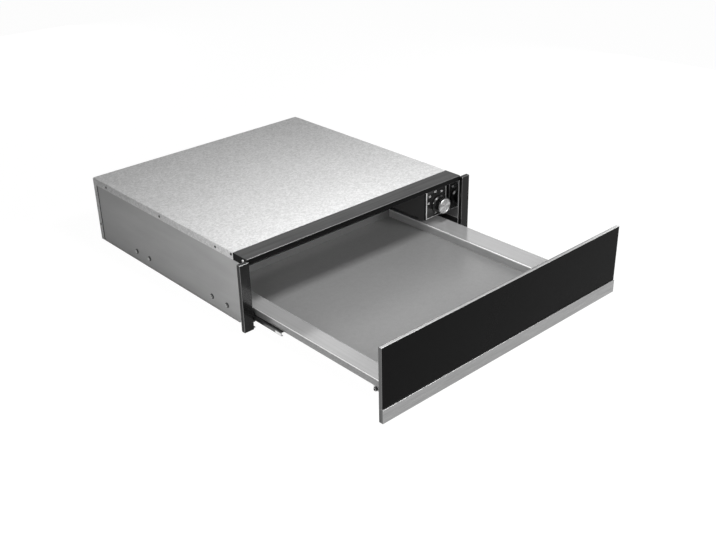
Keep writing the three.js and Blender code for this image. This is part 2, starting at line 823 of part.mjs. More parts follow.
// Black knob: skirt, waisted grip and the spindle that turns in the thermostat.
function controlKnob() {
  const skirt = KNOB_BACK - KNOB_SKIRT_T;
  const spindleEnd = FASCIA_BACK + THERMO_D - SHAFT_SHORT;
  const profile = [
    [0, KNOB_BACK - KNOB_L],
    [KNOB_GRIP_R, KNOB_BACK - KNOB_L],
    [KNOB_GRIP_R, skirt - KNOB_SKIRT_T],
    [KNOB_R - SHEET, skirt],
    [KNOB_R, skirt + SHEET],
    [KNOB_R, KNOB_BACK],
    [SPINDLE_R, KNOB_BACK],
    [SPINDLE_R, spindleEnd],
    [0, spindleEnd],
  ];
  return turned(profile, FINE).translate(KNOB_X, 0, KNOB_Z);
}

// Spun cap over the front of the grip, open towards the fascia.
function knobCap() {
  const back = KNOB_BACK - KNOB_L - SEAT;
  const front = back - CAP_SHEET;
  const inner = KNOB_GRIP_R + SEAT;
  const profile = [
    [0, back],
    [inner, back],
    [inner, back + CAP_SKIRT],
    [CAP_R, back + CAP_SKIRT],
    [CAP_R, front + CAP_ROUND],
    [CAP_R - CAP_ROUND, front],
    [0, front],
  ];
  return turned(profile, FINE).translate(KNOB_X, 0, KNOB_Z);
}

// ---------------------------------------------------------------- heater and fan

// Folded tab that holds the housing on the back panel.
function housingTab(x) {
  const wall = BACK - SHEET - SEAT;
  return join(
    block(x, x + TAB_W, HEAT_Y1 - SHEET / 2, wall, HEAT_HIGH - TAB_DROP - SHEET, HEAT_HIGH - TAB_DROP),
    block(x, x + TAB_W, wall - SHEET, wall, HEAT_HIGH - TAB_DROP - TAB_W, HEAT_HIGH - TAB_DROP),
  );
}

function heaterHousing() {
  const shell = block(HEAT_X0, HEAT_X1, HEAT_Y0, HEAT_Y1, HEAT_LOW, HEAT_HIGH);
  const hollow = block(
    HEAT_X0 + SHEET,
    HEAT_X1 - SHEET,
    HEAT_Y0 - SHEET,
    HEAT_Y1 - SHEET,
    HEAT_LOW + SHEET,
    HEAT_HIGH - SHEET,
  );
  const ends = [-1, 1].map((side) => rodY(
    HEAT_X + side * TAIL_X,
    TAIL_Z,
    ELEMENT_R + 2 * SEAT,
    HEAT_Y1 - 2 * SHEET,
    HEAT_Y1 + SHEET,
    12,
  ));
  const tabs = [HEAT_X0 + TAB_IN, HEAT_X1 - TAB_IN - TAB_W].map((x) => housingTab(x));
  return cut(join(shell, ...tabs), hollow, ...ends);
}

// Front plate of the housing, with a round of slots in front of the fan and slots for the outflow.
function fanGuard() {
  const y1 = HEAT_Y0 - SEAT;
  const plate = block(HEAT_X0, HEAT_X1, y1 - SHEET, y1, HEAT_LOW, HEAT_HIGH);
  const tools = [];
  const pitch = (2 * ROTOR_R) / GUARD_SLOTS;
  for (let i = 0; i < GUARD_SLOTS; i += 1) {
    const z = HEAT_MID - ROTOR_R + pitch * (i + 0.5);
    const half = Math.sqrt(ROTOR_R * ROTOR_R - (z - HEAT_MID) * (z - HEAT_MID));
    const low = z - GUARD_SLOT_W / 2;
    const high = z + GUARD_SLOT_W / 2;
    tools.push(block(HEAT_X - half, HEAT_X + half, y1 - 2 * SHEET, y1 + SHEET, low, high));
    for (const side of [-1, 1]) {
      const inner = HEAT_X + side * (RING_R + GUARD_LAND);
      const outer = (side < 0 ? HEAT_X0 : HEAT_X1) - side * GUARD_MARGIN;
      tools.push(block(inner, outer, y1 - 2 * SHEET, y1 + SHEET, low, high));
    }
  }
  return cut(plate, ...tools);
}

// Ring element: two ends through the housing's back, joined by a bend round the rotor.
function heaterElement() {
  const ringY = MOTOR_FRONT - ROTOR_W;
  const points = [];
  const steps = 30;
  const sweep = 2 * Math.PI - 2 * ELEMENT_OPEN;
  for (let i = 0; i <= steps; i += 1) {
    const turn = -Math.PI / 2 + ELEMENT_OPEN + (i / steps) * sweep;
    points.push(new THREE.Vector3(
      HEAT_X + RING_R * Math.cos(turn),
      ringY,
      HEAT_MID + RING_R * Math.sin(turn),
    ));
  }
  const tailOf = (end) => [HEAT_Y1 + ELEMENT_STUB, HEAT_Y1 - ELEMENT_TAIL, ringY + ELEMENT_TAIL].map(
    (y) => new THREE.Vector3(end.x, y, end.z),
  );
  const route = [...tailOf(points[0]), ...points, ...tailOf(points[steps]).reverse()];
  const section = new THREE.Shape();
  section.absarc(0, 0, ELEMENT_R, 0, 2 * Math.PI);
  return new THREE.ExtrudeGeometry(section, {
    steps: 70,
    curveSegments: 4,
    extrudePath: new THREE.CatmullRomCurve3(route, false, 'centripetal'),
  });
}

function fanMotor() {
  const boreR = MOTOR_SHAFT_R + TURN_GAP;
  const bore = rodY(HEAT_X, HEAT_MID, boreR, MOTOR_FRONT - SHEET, MOTOR_BACK - BLIND_WALL);
  return cut(rodY(HEAT_X, HEAT_MID, MOTOR_R, MOTOR_FRONT, MOTOR_BACK, FINE), bore);
}

// Radial impeller: a back disc with blades, and the shaft that runs in the motor.
function fanRotor() {
  const discBack = MOTOR_FRONT - SHEET;
  const discFront = discBack - ROTOR_DISC_T;
  const bladeFront = discFront - ROTOR_W;
  const inDisc = discFront + ROTOR_DISC_T / 3;
  const hub = rodY(HEAT_X, HEAT_MID, MOTOR_SHAFT_R + HUB_T, bladeFront + HUB_T, inDisc);
  const disc = rodY(HEAT_X, HEAT_MID, ROTOR_R, discFront, discBack, FINE);
  const shaft = rodY(HEAT_X, HEAT_MID, MOTOR_SHAFT_R, discFront, MOTOR_BACK - SHAFT_SHORT);
  const blades = [];
  for (let i = 0; i < ROTOR_BLADES; i += 1) {
    const blade = block(
      ROTOR_R - BLADE_DEPTH,
      ROTOR_R - BLADE_EDGE,
      bladeFront,
      inDisc,
      -BLADE_T / 2,
      BLADE_T / 2,
    );
    blade.rotateY((i / ROTOR_BLADES) * 2 * Math.PI);
    blades.push(blade.translate(HEAT_X, 0, HEAT_MID));
  }
  return join(disc, hub, shaft, ...blades);
}

function thermalCutout() {
  const disc = new THREE.CylinderGeometry(CUTOUT_R, CUTOUT_R, CUTOUT_H, ROUND);
  return disc.rotateX(Math.PI / 2).translate(
    HEAT_X1 - CUTOUT_IN,
    HEAT_Y0 + HEAT_D / 2,
    HEAT_HIGH + SEAT + CUTOUT_H / 2,
  );
}

// ---------------------------------------------------------------- latch and mains inlet

function latchBody() {
  const body = block(
    LATCH_X - LATCH_W / 2,
    LATCH_X + LATCH_W / 2,
    LATCH_FRONT,
    LATCH_BACK,
    LATCH_Z - LATCH_H / 2,
    LATCH_Z + LATCH_H / 2,
  );
  const boreR = PLUNGER_R + TURN_GAP;
  return cut(body, rodY(LATCH_X, LATCH_Z, boreR, LATCH_FRONT - SHEET, LATCH_BACK - BLIND_WALL));
}

function latchPlunger() {
  const end = LATCH_BACK - BLIND_WALL - LATCH_STROKE - LATCH_SPARE;
  return rodY(LATCH_X, LATCH_Z, PLUNGER_R, TRAY_BACK + LATCH_TIP, end);
}

// Bushing in the back panel that the mains lead enters by, open right through.
function cableGland() {
  const outFace = BACK + SEAT;
  const inEnd = BACK - SHEET - GLAND_INSIDE;
  const profile = [
    [GLAND_BORE_R, inEnd],
    [GLAND_NECK_R, inEnd],
    [GLAND_NECK_R, outFace],
    [GLAND_R, outFace],
    [GLAND_R, outFace + GLAND_FLANGE_T],
    [GLAND_NECK_R, outFace + GLAND_L],
    [GLAND_BORE_R, outFace + GLAND_L],
    [GLAND_BORE_R, inEnd],
  ];
  return turned(profile).translate(GLAND_X, 0, GLAND_Z);
}

function terminalBlock() {
  return block(
    TERMINAL_X,
    TERMINAL_X + TERMINAL_W,
    TERMINAL_FRONT,
    TERMINAL_BACK,
    GLAND_Z - TERMINAL_H / 2,
    GLAND_Z + TERMINAL_H / 2,
  );
}

// Internal loom: from the thermostat back through the control box to the terminal block.
function wiringLoom() {
  const start = FASCIA_BACK + 2 * SEAT + THERMO_D;
  const end = TERMINAL_FRONT - SEAT;
  const x1 = TERMINAL_X + TERMINAL_W * 0.75;
  const route = [
    new THREE.Vector3(KNOB_X, start, KNOB_Z),
    new THREE.Vector3(KNOB_X, start + LOOM_LEAD, KNOB_Z),
    new THREE.Vector3(KNOB_X + LOOM_SWAY, (start + end) / 2, (KNOB_Z + GLAND_Z) / 2),
    new THREE.Vector3(x1, end - LOOM_LEAD, GLAND_Z),
    new THREE.Vector3(x1, end, GLAND_Z),
  ];
  const section = new THREE.Shape();
  section.absarc(0, 0, LOOM_R, 0, 2 * Math.PI);
  return new THREE.ExtrudeGeometry(section, {
    steps: 40,
    curveSegments: 4,
    extrudePath: new THREE.CatmullRomCurve3(route, false, 'centripetal'),
  });
}

// ---------------------------------------------------------------- assembly

function casing() {
  const group = new THREE.Group();
  group.add(
    part('base_pan', basePan(), galvanised),
    part('back_panel', backPanel(), galvanised),
    part('top_cover', topCover(), galvanised),
    part('top_trim_bar', topTrimBar(), barGrey),
    part('control_box', controlBox(), darkMetal),
    part('control_fascia', controlFascia(), blackGloss),
    part('thermostat_body', thermostatBody(), ceramic),
    part('heater_housing', heaterHousing(), galvanised),
    part('fan_guard', fanGuard(), steel),
    part('heater_element', heaterElement(), darkMetal),
    part('fan_motor', fanMotor(), darkMetal),
    part('thermal_cutout', thermalCutout(), ceramic),
    part('latch_body', latchBody(), blackPlastic),
    part('cable_gland', cableGland(), blackPlastic),
    part('terminal_block', terminalBlock(), ceramic),
    part('wiring_loom', wiringLoom(), loomGrey),
  );
  for (const [word, side] of SIDES) {
    group.add(
      part(`side_panel_${word}`, sidePanel(side), galvanised),
      part(`mount_flange_${word}`, mountFlange(side), galvanised),
      part(`side_trim_${word}`, sideTrim(side), blackGloss),
      part(`runner_channel_${word}`, runnerChannel(side), steel),
      part(`runner_cap_${word}`, runnerCap(side), blackPlastic),
    );
    SCREW_YS.forEach((y, i) => {
      group.add(part(`runner_screw_${word}_${i + 1}`, runnerScrew(side, y), steel));
    });
  }
  return group;
}

function controlAndFan() {
  const group = new THREE.Group();
  group.add(
    part('control_knob', controlKnob(), blackPlastic),
    part('knob_cap', knobCap(), aluminium),
    part('fan_rotor', fanRotor(), steel),
    part('latch_plunger', latchPlunger(), steel),
  );
  return group;
}

// The middle members of the runners move half as far as the drawer.
function runnerSlides() {
  const group = new THREE.Group();
  for (const [word, side] of SIDES) {
    group.add(part(`runner_slide_${word}`, runnerSlide(side), steel));
  }
  group.position.y = -OPEN / 2;
  return group;
}

function drawer() {
  const group = new THREE.Group();
  group.add(
    part('drawer_tray', drawerTray(), steel),
    part('base_plate', basePlate(), satin),
    part('front_frame', frontFrame(), aluminium),
    part('front_glass', frontGlass(), blackGlass),
    part('front_strip', frontStrip(), aluminium),
    part('panel_liner', panelLiner(), steel),
  );
  for (const [word, side] of SIDES) {
    group.add(
      part(`drawer_rail_${word}`, drawerRail(side), steel),
      part(`front_bracket_${word}`, frontBracket(side), steel),
      part(`bracket_bolt_${word}`, bracketBolt(side), steel),
      part(`bumper_${word}`, bumper(side), rubber),
    );
  }
  group.position.y = -OPEN;
  return group;
}

const warmingDrawer = new THREE.Group();
warmingDrawer.add(casing(), controlAndFan(), runnerSlides(), drawer());

export default warmingDrawer;
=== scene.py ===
"""Looks of the built-in warming drawer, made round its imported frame.

Lengths are written in millimetres, in the frame's axes, and become metres when a mesh is made.
The camera, the lamps and the floor are placed in metres.
"""

import math

import bpy
import numpy as np
from mathutils import Matrix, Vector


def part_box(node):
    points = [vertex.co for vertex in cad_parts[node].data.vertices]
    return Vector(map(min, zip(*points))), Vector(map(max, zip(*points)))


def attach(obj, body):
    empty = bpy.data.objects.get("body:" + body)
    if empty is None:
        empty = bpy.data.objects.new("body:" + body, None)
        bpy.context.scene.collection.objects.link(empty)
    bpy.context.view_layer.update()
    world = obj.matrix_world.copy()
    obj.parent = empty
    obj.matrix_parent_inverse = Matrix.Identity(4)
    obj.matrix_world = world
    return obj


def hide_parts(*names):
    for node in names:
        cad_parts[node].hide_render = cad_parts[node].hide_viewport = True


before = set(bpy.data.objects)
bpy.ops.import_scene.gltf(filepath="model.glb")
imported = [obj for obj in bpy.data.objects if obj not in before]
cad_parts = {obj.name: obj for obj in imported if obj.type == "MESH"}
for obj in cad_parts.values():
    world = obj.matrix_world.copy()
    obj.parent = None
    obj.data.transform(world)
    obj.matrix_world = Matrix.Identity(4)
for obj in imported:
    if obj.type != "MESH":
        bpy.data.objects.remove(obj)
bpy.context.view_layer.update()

MM = 0.001
TINY = 1e-6
X, Y, Z = np.eye(3)


def spot(node):
    """Lowest and highest corner of a frame node, in millimetres."""
    low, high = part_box(node)
    return np.array(low) / MM, np.array(high) / MM


def offsets(low, high):
    """Farthest and nearest distance of a node from the middle plane between left and right."""
    return max(abs(low[0]), abs(high[0])), min(abs(low[0]), abs(high[0]))


# ---------------------------------------------------------------- finishes


def add_node(tree, kind, inputs=(), **settings):
    """New shader node with its settings. An input is another node's output or a plain value."""
    made = tree.nodes.new(kind)
    for key, value in settings.items():
        setattr(made, key, value)
    for socket, value in dict(inputs).items():
        if isinstance(value, bpy.types.NodeSocket):
            tree.links.new(value, made.inputs[socket])
        else:
            made.inputs[socket].default_value = value
    return made


def rgb(colour):
    """Three colour values from a colour or from one grey."""
    return colour if isinstance(colour, tuple) else (colour,) * 3


class Finish:
    """Node tree of one finish: plain shader values, and patterns on the piece's own coordinates."""

    def __init__(self, name, colour, rough, metal=0.0, specular=0.5):
        self.material = bpy.data.materials.new(name)
        self.material.use_nodes = True
        self.tree = self.material.node_tree
        self.shader = self.tree.nodes["Principled BSDF"]
        self.material.diffuse_color = (*rgb(colour), 1.0)
        self.set("Base Color", (*rgb(colour), 1.0))
        self.set("Roughness", rough)
        self.set("Metallic", metal)
        self.set("Specular IOR Level", specular)
        self.object_place = self.node("ShaderNodeTexCoord").outputs["Object"]

    def set(self, socket, value):
        self.shader.inputs[socket].default_value = value

    def join(self, output, socket):
        self.tree.links.new(output, self.shader.inputs[socket])
        return self

    def node(self, kind, inputs=(), **settings):
        return add_node(self.tree, kind, inputs, **settings)

    def stretched(self, x=1, y=1, z=1):
        """Object coordinates, scaled, so that a pattern is drawn out along the small scale."""
        made = self.node("ShaderNodeMapping", {"Vector": self.object_place, "Scale": (x, y, z)})
        return made.outputs["Vector"]

    def turning(self, round_scale, along_scale):
        """The piece's own map: turned angle across, length of the profile up."""
        place = self.node("ShaderNodeUVMap", uv_map="turning").outputs["UV"]
        scale = (round_scale, along_scale, 1.0)
        return self.node("ShaderNodeMapping", {"Vector": place, "Scale": scale}).outputs["Vector"]

    def noise(self, place, scale, detail=2.0):
        made = self.node("ShaderNodeTexNoise", {
            "Vector": place, "Scale": scale, "Detail": detail, "Roughness": 0.55,
        })
        return made.outputs["Fac"]

    def crystals(self, place, scale):
        """One even random grey for each crystal."""
        cells = self.node("ShaderNodeTexVoronoi", {"Vector": place, "Scale": scale})
        return self.node("ShaderNodeSeparateColor", {"Color": cells.outputs["Color"]}).outputs[0]

    def strands(self, place):
        """Slanting stripes of a weave, one way."""
        made = self.node(
            "ShaderNodeTexWave", {"Vector": place, "Scale": 260.0}, bands_direction="DIAGONAL")
        return made.outputs["Fac"]

    def reach(self, value, low, high, out_low=0.0, out_high=1.0):
        """The value moved in a straight line from one range to another, and held at its ends."""
        made = self.node("ShaderNodeMapRange", {
            "Value": value, "From Min": low, "From Max": high,
            "To Min": out_low, "To Max": out_high,
        })
        return made.outputs["Result"]

    def sum(self, *terms):
        """Weighted sum of (value, weight) pairs."""
        total = None
        for value, weight in terms:
            part = self.node("ShaderNodeMath", {0: value, 1: weight}, operation="MULTIPLY")
            if total is None:
                total = part.outputs[0]
                continue
            both = self.node("ShaderNodeMath", {0: total, 1: part.outputs[0]}, operation="ADD")
            total = both.outputs[0]
        return total

    def colour(self, value, dark, light):
        """Base colour between two greys or colours, by a value from 0 to 1.

        Sockets 6 and 7 of the mix node are its two colours, and its output 2 is the mixed one.
        """
        pair = {6: (*rgb(dark), 1.0), 7: (*rgb(light), 1.0)}
        made = self.node("ShaderNodeMix", {"Factor": value, **pair}, data_type="RGBA")
        return self.join(made.outputs[2], "Base Color")

    def rough(self, value, low, high):
        return self.join(self.reach(value, 0.0, 1.0, low, high), "Roughness")

    def bump(self, height, strength, depth_mm):
        made = self.node("ShaderNodeBump", {
            "Height": height, "Strength": strength, "Distance": depth_mm * MM,
        })
        return self.join(made.outputs["Normal"], "Normal")


def zinc(name, dark, light):
    """Galvanised sheet: large and small crystals, each its own grey, a fine grain over them."""
    f = Finish(name, (dark + light) / 2, 0.45, specular=0.01)
    place = f.stretched()
    large, small = f.crystals(place, 260.0), f.crystals(place, 620.0)
    grain, cloud = f.noise(place, 1600.0), f.noise(place, 7.0, 3.0)
    spangle = f.sum((large, 0.30), (small, 0.30), (grain, 0.28), (cloud, 0.12))
    value = f.reach(spangle, 0.25, 0.75)
    f.colour(value, dark, light).rough(value, 0.52, 0.38)
    return f.bump(spangle, 0.12, 0.05).material


def brushed(name, grain, dark, light, rough_low, rough_high,
            metal=1.0, depth=0.02, specular=0.5, cloud_scale=11.0):
    """Sheet brushed one way: fine and coarse streaks along the grain, faint clouds over them."""
    f = Finish(name, (dark + light) / 2, rough_low, metal, specular)
    place = f.stretched(*grain)
    fine, coarse = f.noise(place, 1.0, 3.0), f.noise(place, 0.22, 2.0)
    cloud = f.noise(f.stretched(), cloud_scale, 2.0)
    streak = f.sum((fine, 0.45), (coarse, 0.35), (cloud, 0.20))
    value = f.reach(streak, 0.3, 0.7)
    f.colour(value, dark, light).rough(value, rough_high, rough_low)
    return f.bump(streak, 0.25, depth).material


def painted(name, dark, light, rough_low, rough_high, specular, grain, depth, metal=0.0):
    """Paint or moulded plastic: a fine grain in the skin, and slow unevenness in its gloss."""
    mean = tuple((np.array(rgb(dark)) + rgb(light)) / 2)
    f = Finish(name, mean, rough_low, metal, specular)
    place = f.stretched()
    skin, cloud = f.noise(place, grain, 3.0), f.noise(place, 9.0, 2.0)
    f.colour(f.sum((skin, 0.5), (cloud, 0.5)), dark, light)
    f.rough(f.reach(cloud, 0.3, 0.7), rough_low, rough_high)
    return f.bump(skin, 0.3, depth).material


def spun(name, dark, light):
    """Spun aluminium: rings of the turning tool, a two-winged shine, and its painted sheen in the
    colour.
    """
    f = Finish(name, 0.50, 0.26, 1.0)
    f.set("Anisotropic", 0.75)
    rings = f.noise(f.turning(2.0, 1.0), 2.2, 2.0)
    # light and dark wings round the turn in the base colour: a painted sheen over the real
    # anisotropic shine
    painted_sheen = f.noise(f.turning(8.0, 0.0), 1.0, 1.0)
    f.colour(f.reach(f.sum((rings, 0.35), (painted_sheen, 0.65)), 0.36, 0.64), dark, light)
    tangent = f.node("ShaderNodeTangent", direction_type="UV_MAP", uv_map="turning").outputs[0]
    return f.join(tangent, "Tangent").bump(rings, 0.25, 0.02).material


def sleeved(name, dark, light):
    """Woven sleeve over the wires: two sets of crossing strands."""
    f = Finish(name, 0.16, 0.8, specular=0.25)
    weave = f.sum((f.strands(f.stretched()), 0.5), (f.strands(f.stretched(-1, 1, 1)), 0.5))
    return f.colour(weave, dark, light).bump(weave, 0.6, 0.3).material


# The pattern's scale along x, y and z, then the darkest and lightest grey, the lowest and highest
# roughness and, where they differ from plain metal's, the metal, the bump's depth and the specular.
ALONG_TRAY = (1100, 9, 1100)
ZINC_COVER = zinc("spangled_zinc_cover", 0.47, 0.67)
ZINC_SIDE = brushed(
    "satin_zinc_side", (60, 9, 60), 0.32, 0.38, 0.42, 0.50, 0.05, 0.01, 0.1)
ZINC_INSIDE = brushed("smooth_zinc_inside", (900, 14, 900), 0.26, 0.36, 0.06, 0.12)
CUT_EDGE = brushed("sheared_sheet_edge", (700, 700, 700), 0.50, 0.70, 0.35, 0.5, 0.6)
STEEL_ALONG = brushed(
    "brushed_steel_along_tray", ALONG_TRAY, 0.35, 0.45, 0.10, 0.18, 0.43, 0.02, 0.3)
# painted shade: the tray's outer skirts, a darker copy of its steel
SKIRT_SHADE = brushed("painted_shade_steel_skirt", ALONG_TRAY, 0.18, 0.27, 0.25, 0.38, 0.6, 0.02, 0.3)
# painted highlight: the tray's bends, a lighter copy of its steel
BEND_HIGHLIGHT = brushed("painted_highlight_bend", ALONG_TRAY, 0.64, 0.76, 0.25, 0.35, 0.5, 0.01, 0.4)
# painted highlight: the right-hand bends of the tub, lighter still
CREST_HIGHLIGHT = brushed("painted_highlight_tub_crest", ALONG_TRAY, 0.84, 0.92, 0.22, 0.32, 0.4, 0.01, 0.5)
STEEL_RUNNER = brushed("bright_runner_steel", (1100, 12, 1100), 0.08, 0.16, 0.22, 0.34, 0.9)
STEEL_PLAIN = brushed("rolled_steel", (500, 60, 500), 0.34, 0.46, 0.32, 0.45, 0.5, 0.02, 0.3)
SATIN_PLATE = brushed(
    "satin_base_plate", (420, 420, 420), 0.220, 0.255, 0.28, 0.36, 0.30, 0.006, 0.2)
# painted shade: the tub's uprights, a darker copy of the base plate's satin
SATIN_SHADE = brushed(
    "painted_shade_satin_upright", (420, 420, 420), 0.130, 0.155, 0.30, 0.38, 0.30, 0.006, 0.2)
STRIP_METAL = brushed(
    "brushed_strip_across", (60, 1500, 1500), 0.24, 0.38, 0.24, 0.36, cloud_scale=4.0)
FRAME_METAL = brushed("brushed_frame_edge", (10, 900, 900), 0.18, 0.28, 0.22, 0.34)
# painted highlight: top faces of the panel's frame and strip, the strip's front-left edge, the
# bracket bolts' crowns
FRAME_HIGHLIGHT = brushed("painted_highlight_frame_top", (10, 900, 900), 0.30, 0.42, 0.30, 0.42)
# painted shade: the end faces of the panel's frame and strip
FRAME_SHADE = brushed("shaded_frame_end", (900, 900, 10), 0.09, 0.15, 0.26, 0.38)
BORDER_METAL = brushed("bright_fascia_border", (900, 900, 10), 0.62, 0.80, 0.22, 0.34)
SCREW_METAL = brushed("plated_screw", (900, 900, 900), 0.06, 0.14, 0.22, 0.34)
BAR_PAINT = brushed(
    "dark_brushed_bar", (7, 700, 700), 0.003, 0.040, 0.30, 0.52, 0.0, 0.03, 0.26)

# The darkest and lightest grey, the roughness where the gloss is best and where it is worst, the
# specular, the grain's scale and the bump's depth.
# painted shade: the trim bar's nose, ends and back edge, darker than the rest of its paint
BAR_SHADE = painted("painted_shade_bar_nose", 0.003, 0.005, 0.30, 0.40, 0.03, 600.0, 0.004)
# painted highlight: a lighter line along the trim bar's nose bend
BAR_HIGHLIGHT = painted("painted_highlight_bar_edge", 0.10, 0.16, 0.34, 0.44, 0.30, 1500.0, 0.01, metal=0.6)
TRIM_BLACK = painted("gloss_black_trim", 0.004, 0.007, 0.12, 0.18, 0.14, 600.0, 0.004)
# painted highlight: the side trims' front-left edge and the eased edges round their tops
TRIM_HIGHLIGHT = painted("painted_highlight_trim_edge", 0.12, 0.18, 0.15, 0.22, 0.50, 600.0, 0.004, metal=0.8)
FASCIA_BLACK = painted("gloss_black_fascia", 0.010, 0.018, 0.16, 0.24, 0.30, 800.0, 0.006)
GLASS_BLACK = painted("black_enamelled_glass", 0.0030, 0.0042, 0.04, 0.07, 0.03, 300.0, 0.001)
BLACK_PLASTIC = painted("moulded_black_plastic", 0.010, 0.018, 0.40, 0.52, 0.35, 1800.0, 0.04)
KNOB_BLACK = painted("gloss_black_knob", 0.006, 0.010, 0.12, 0.18, 0.50, 900.0, 0.01)
DARK_METAL = painted("dark_coated_metal", 0.040, 0.060, 0.30, 0.40, 0.30, 1100.0, 0.03)
RUBBER = painted("bumper_rubber", 0.030, 0.050, 0.70, 0.85, 0.20, 1500.0, 0.05)
CERAMIC = painted(
    "cream_ceramic", (0.60, 0.57, 0.50), (0.70, 0.67, 0.60), 0.50, 0.65, 0.40, 900.0, 0.03)
DIAL_PRINT = painted("pale_dial_print", 0.50, 0.64, 0.45, 0.55, 0.30, 1500.0, 0.005)
CAP_METAL = spun("spun_cap_metal", 0.20, 0.54)
LOOM_SLEEVE = sleeved("woven_wire_sleeve", 0.07, 0.24)

# Looks of the frame nodes that no new piece replaces.
FRAME_FINISHES = {
    "base_pan": ZINC_SIDE,
    "back_panel": ZINC_COVER,
    "mount_flange_left": ZINC_SIDE,
    "mount_flange_right": ZINC_SIDE,
    "control_box": DARK_METAL,
    "control_fascia": FASCIA_BLACK,
    "thermostat_body": CERAMIC,
    "heater_housing": ZINC_SIDE,
    "fan_guard": STEEL_PLAIN,
    "heater_element": DARK_METAL,
    "fan_motor": DARK_METAL,
    "thermal_cutout": CERAMIC,
    "latch_body": BLACK_PLASTIC,
    "latch_plunger": STEEL_PLAIN,
    "cable_gland": BLACK_PLASTIC,
    "terminal_block": CERAMIC,
    "wiring_loom": LOOM_SLEEVE,
    "runner_cap_left": BLACK_PLASTIC,
    "runner_cap_right": BLACK_PLASTIC,
    "fan_rotor": STEEL_PLAIN,
    "front_bracket_left": STEEL_PLAIN,
    "front_bracket_right": STEEL_PLAIN,
    "bumper_left": RUBBER,
    "bumper_right": RUBBER,
}


def finish_frame():
    """Gives each frame node that stays its own finish."""
    for node, finish in FRAME_FINISHES.items():
        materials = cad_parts[node].data.materials
        for place in range(len(materials)):
            materials[place] = finish


# ---------------------------------------------------------------- surfaces
#
# A shape is its points, its quads, the normal at each quad's corner, and each quad's kind, which is
# the number of its finish in the list that its piece is made with.


def gathered(points, quads, normals, kinds):
    """Joins lists of quads, with plain face normals where none are given."""
    whole = []
    for q, given in zip(quads, normals):
        if given is None:
            a, b, c, d = points[q].transpose(1, 0, 2)
            face = np.cross(c - a, d - b)
            face /= np.maximum(np.linalg.norm(face, axis=1), 1e-12)[:, None]
            given = np.repeat(face[:, None], 4, 1)
        whole.append(given)
    kind = np.concatenate([np.full(len(q), k) for q, k in zip(quads, kinds)])
    return points, np.vstack(quads), np.vstack(whole), kind


def bent_line(points, radius=1.0, steps=5):
    """Open line through points, with each inner corner swapped for an arc.

    The arc starts radius * tan(half the turn) before its corner. Along it the heading changes
    evenly, and a point is the arc's middle, less the turning side times the radius times the left
    normal. Gives the points and the left normals there.
    """
    p = np.asarray(points, float)
    run = np.diff(p, axis=0)
    run /= np.linalg.norm(run, axis=1)[:, None]
    heading = np.unwrap(np.arctan2(run[:, 1], run[:, 0]))
    turn = np.diff(heading)
    reach = np.sign(turn) * np.broadcast_to(np.asarray(radius, float), turn.shape)
    left = np.stack([-run[:, 1], run[:, 0]], 1)
    begin = p[1:-1] - (np.abs(reach) * np.tan(np.abs(turn) / 2))[:, None] * run[:-1]
    middle = begin + reach[:, None] * left[:-1]
    angle = heading[:-1, None] + turn[:, None] * np.linspace(0, 1, steps + 1)
    normal = np.stack([-np.sin(angle), np.cos(angle)], -1)
    arcs = middle[:, None] - reach[:, None, None] * normal
    line = np.vstack([p[:1], arcs.reshape(-1, 2), p[-1:]])
    normals = np.vstack([left[:1], normal.reshape(-1, 2), left[-1:]])
    fresh = np.append(True, np.linalg.norm(np.diff(line, axis=0), axis=1) > TINY)
    return line[fresh], normals[fresh]


def marked(line, places):
    """The line with extra points where its flat run passes these places."""
    points, normals = line
    for place in places:
        before = np.nonzero((points[:-1, 0] < place) & (points[1:, 0] > place))[0]
        at = before[np.argmin(np.abs(points[before, 1]))]
        points = np.insert(points, at + 1, (place, points[at, 1]), axis=0)
        normals = np.insert(normals, at + 1, normals[at], axis=0)
    return points, normals


def straight(low, high, places=()):
    """Straight line, with extra points at these places."""
    return marked((np.array([[low, 0.0], [high, 0.0]]), np.array([[0.0, 1.0]] * 2)), places)


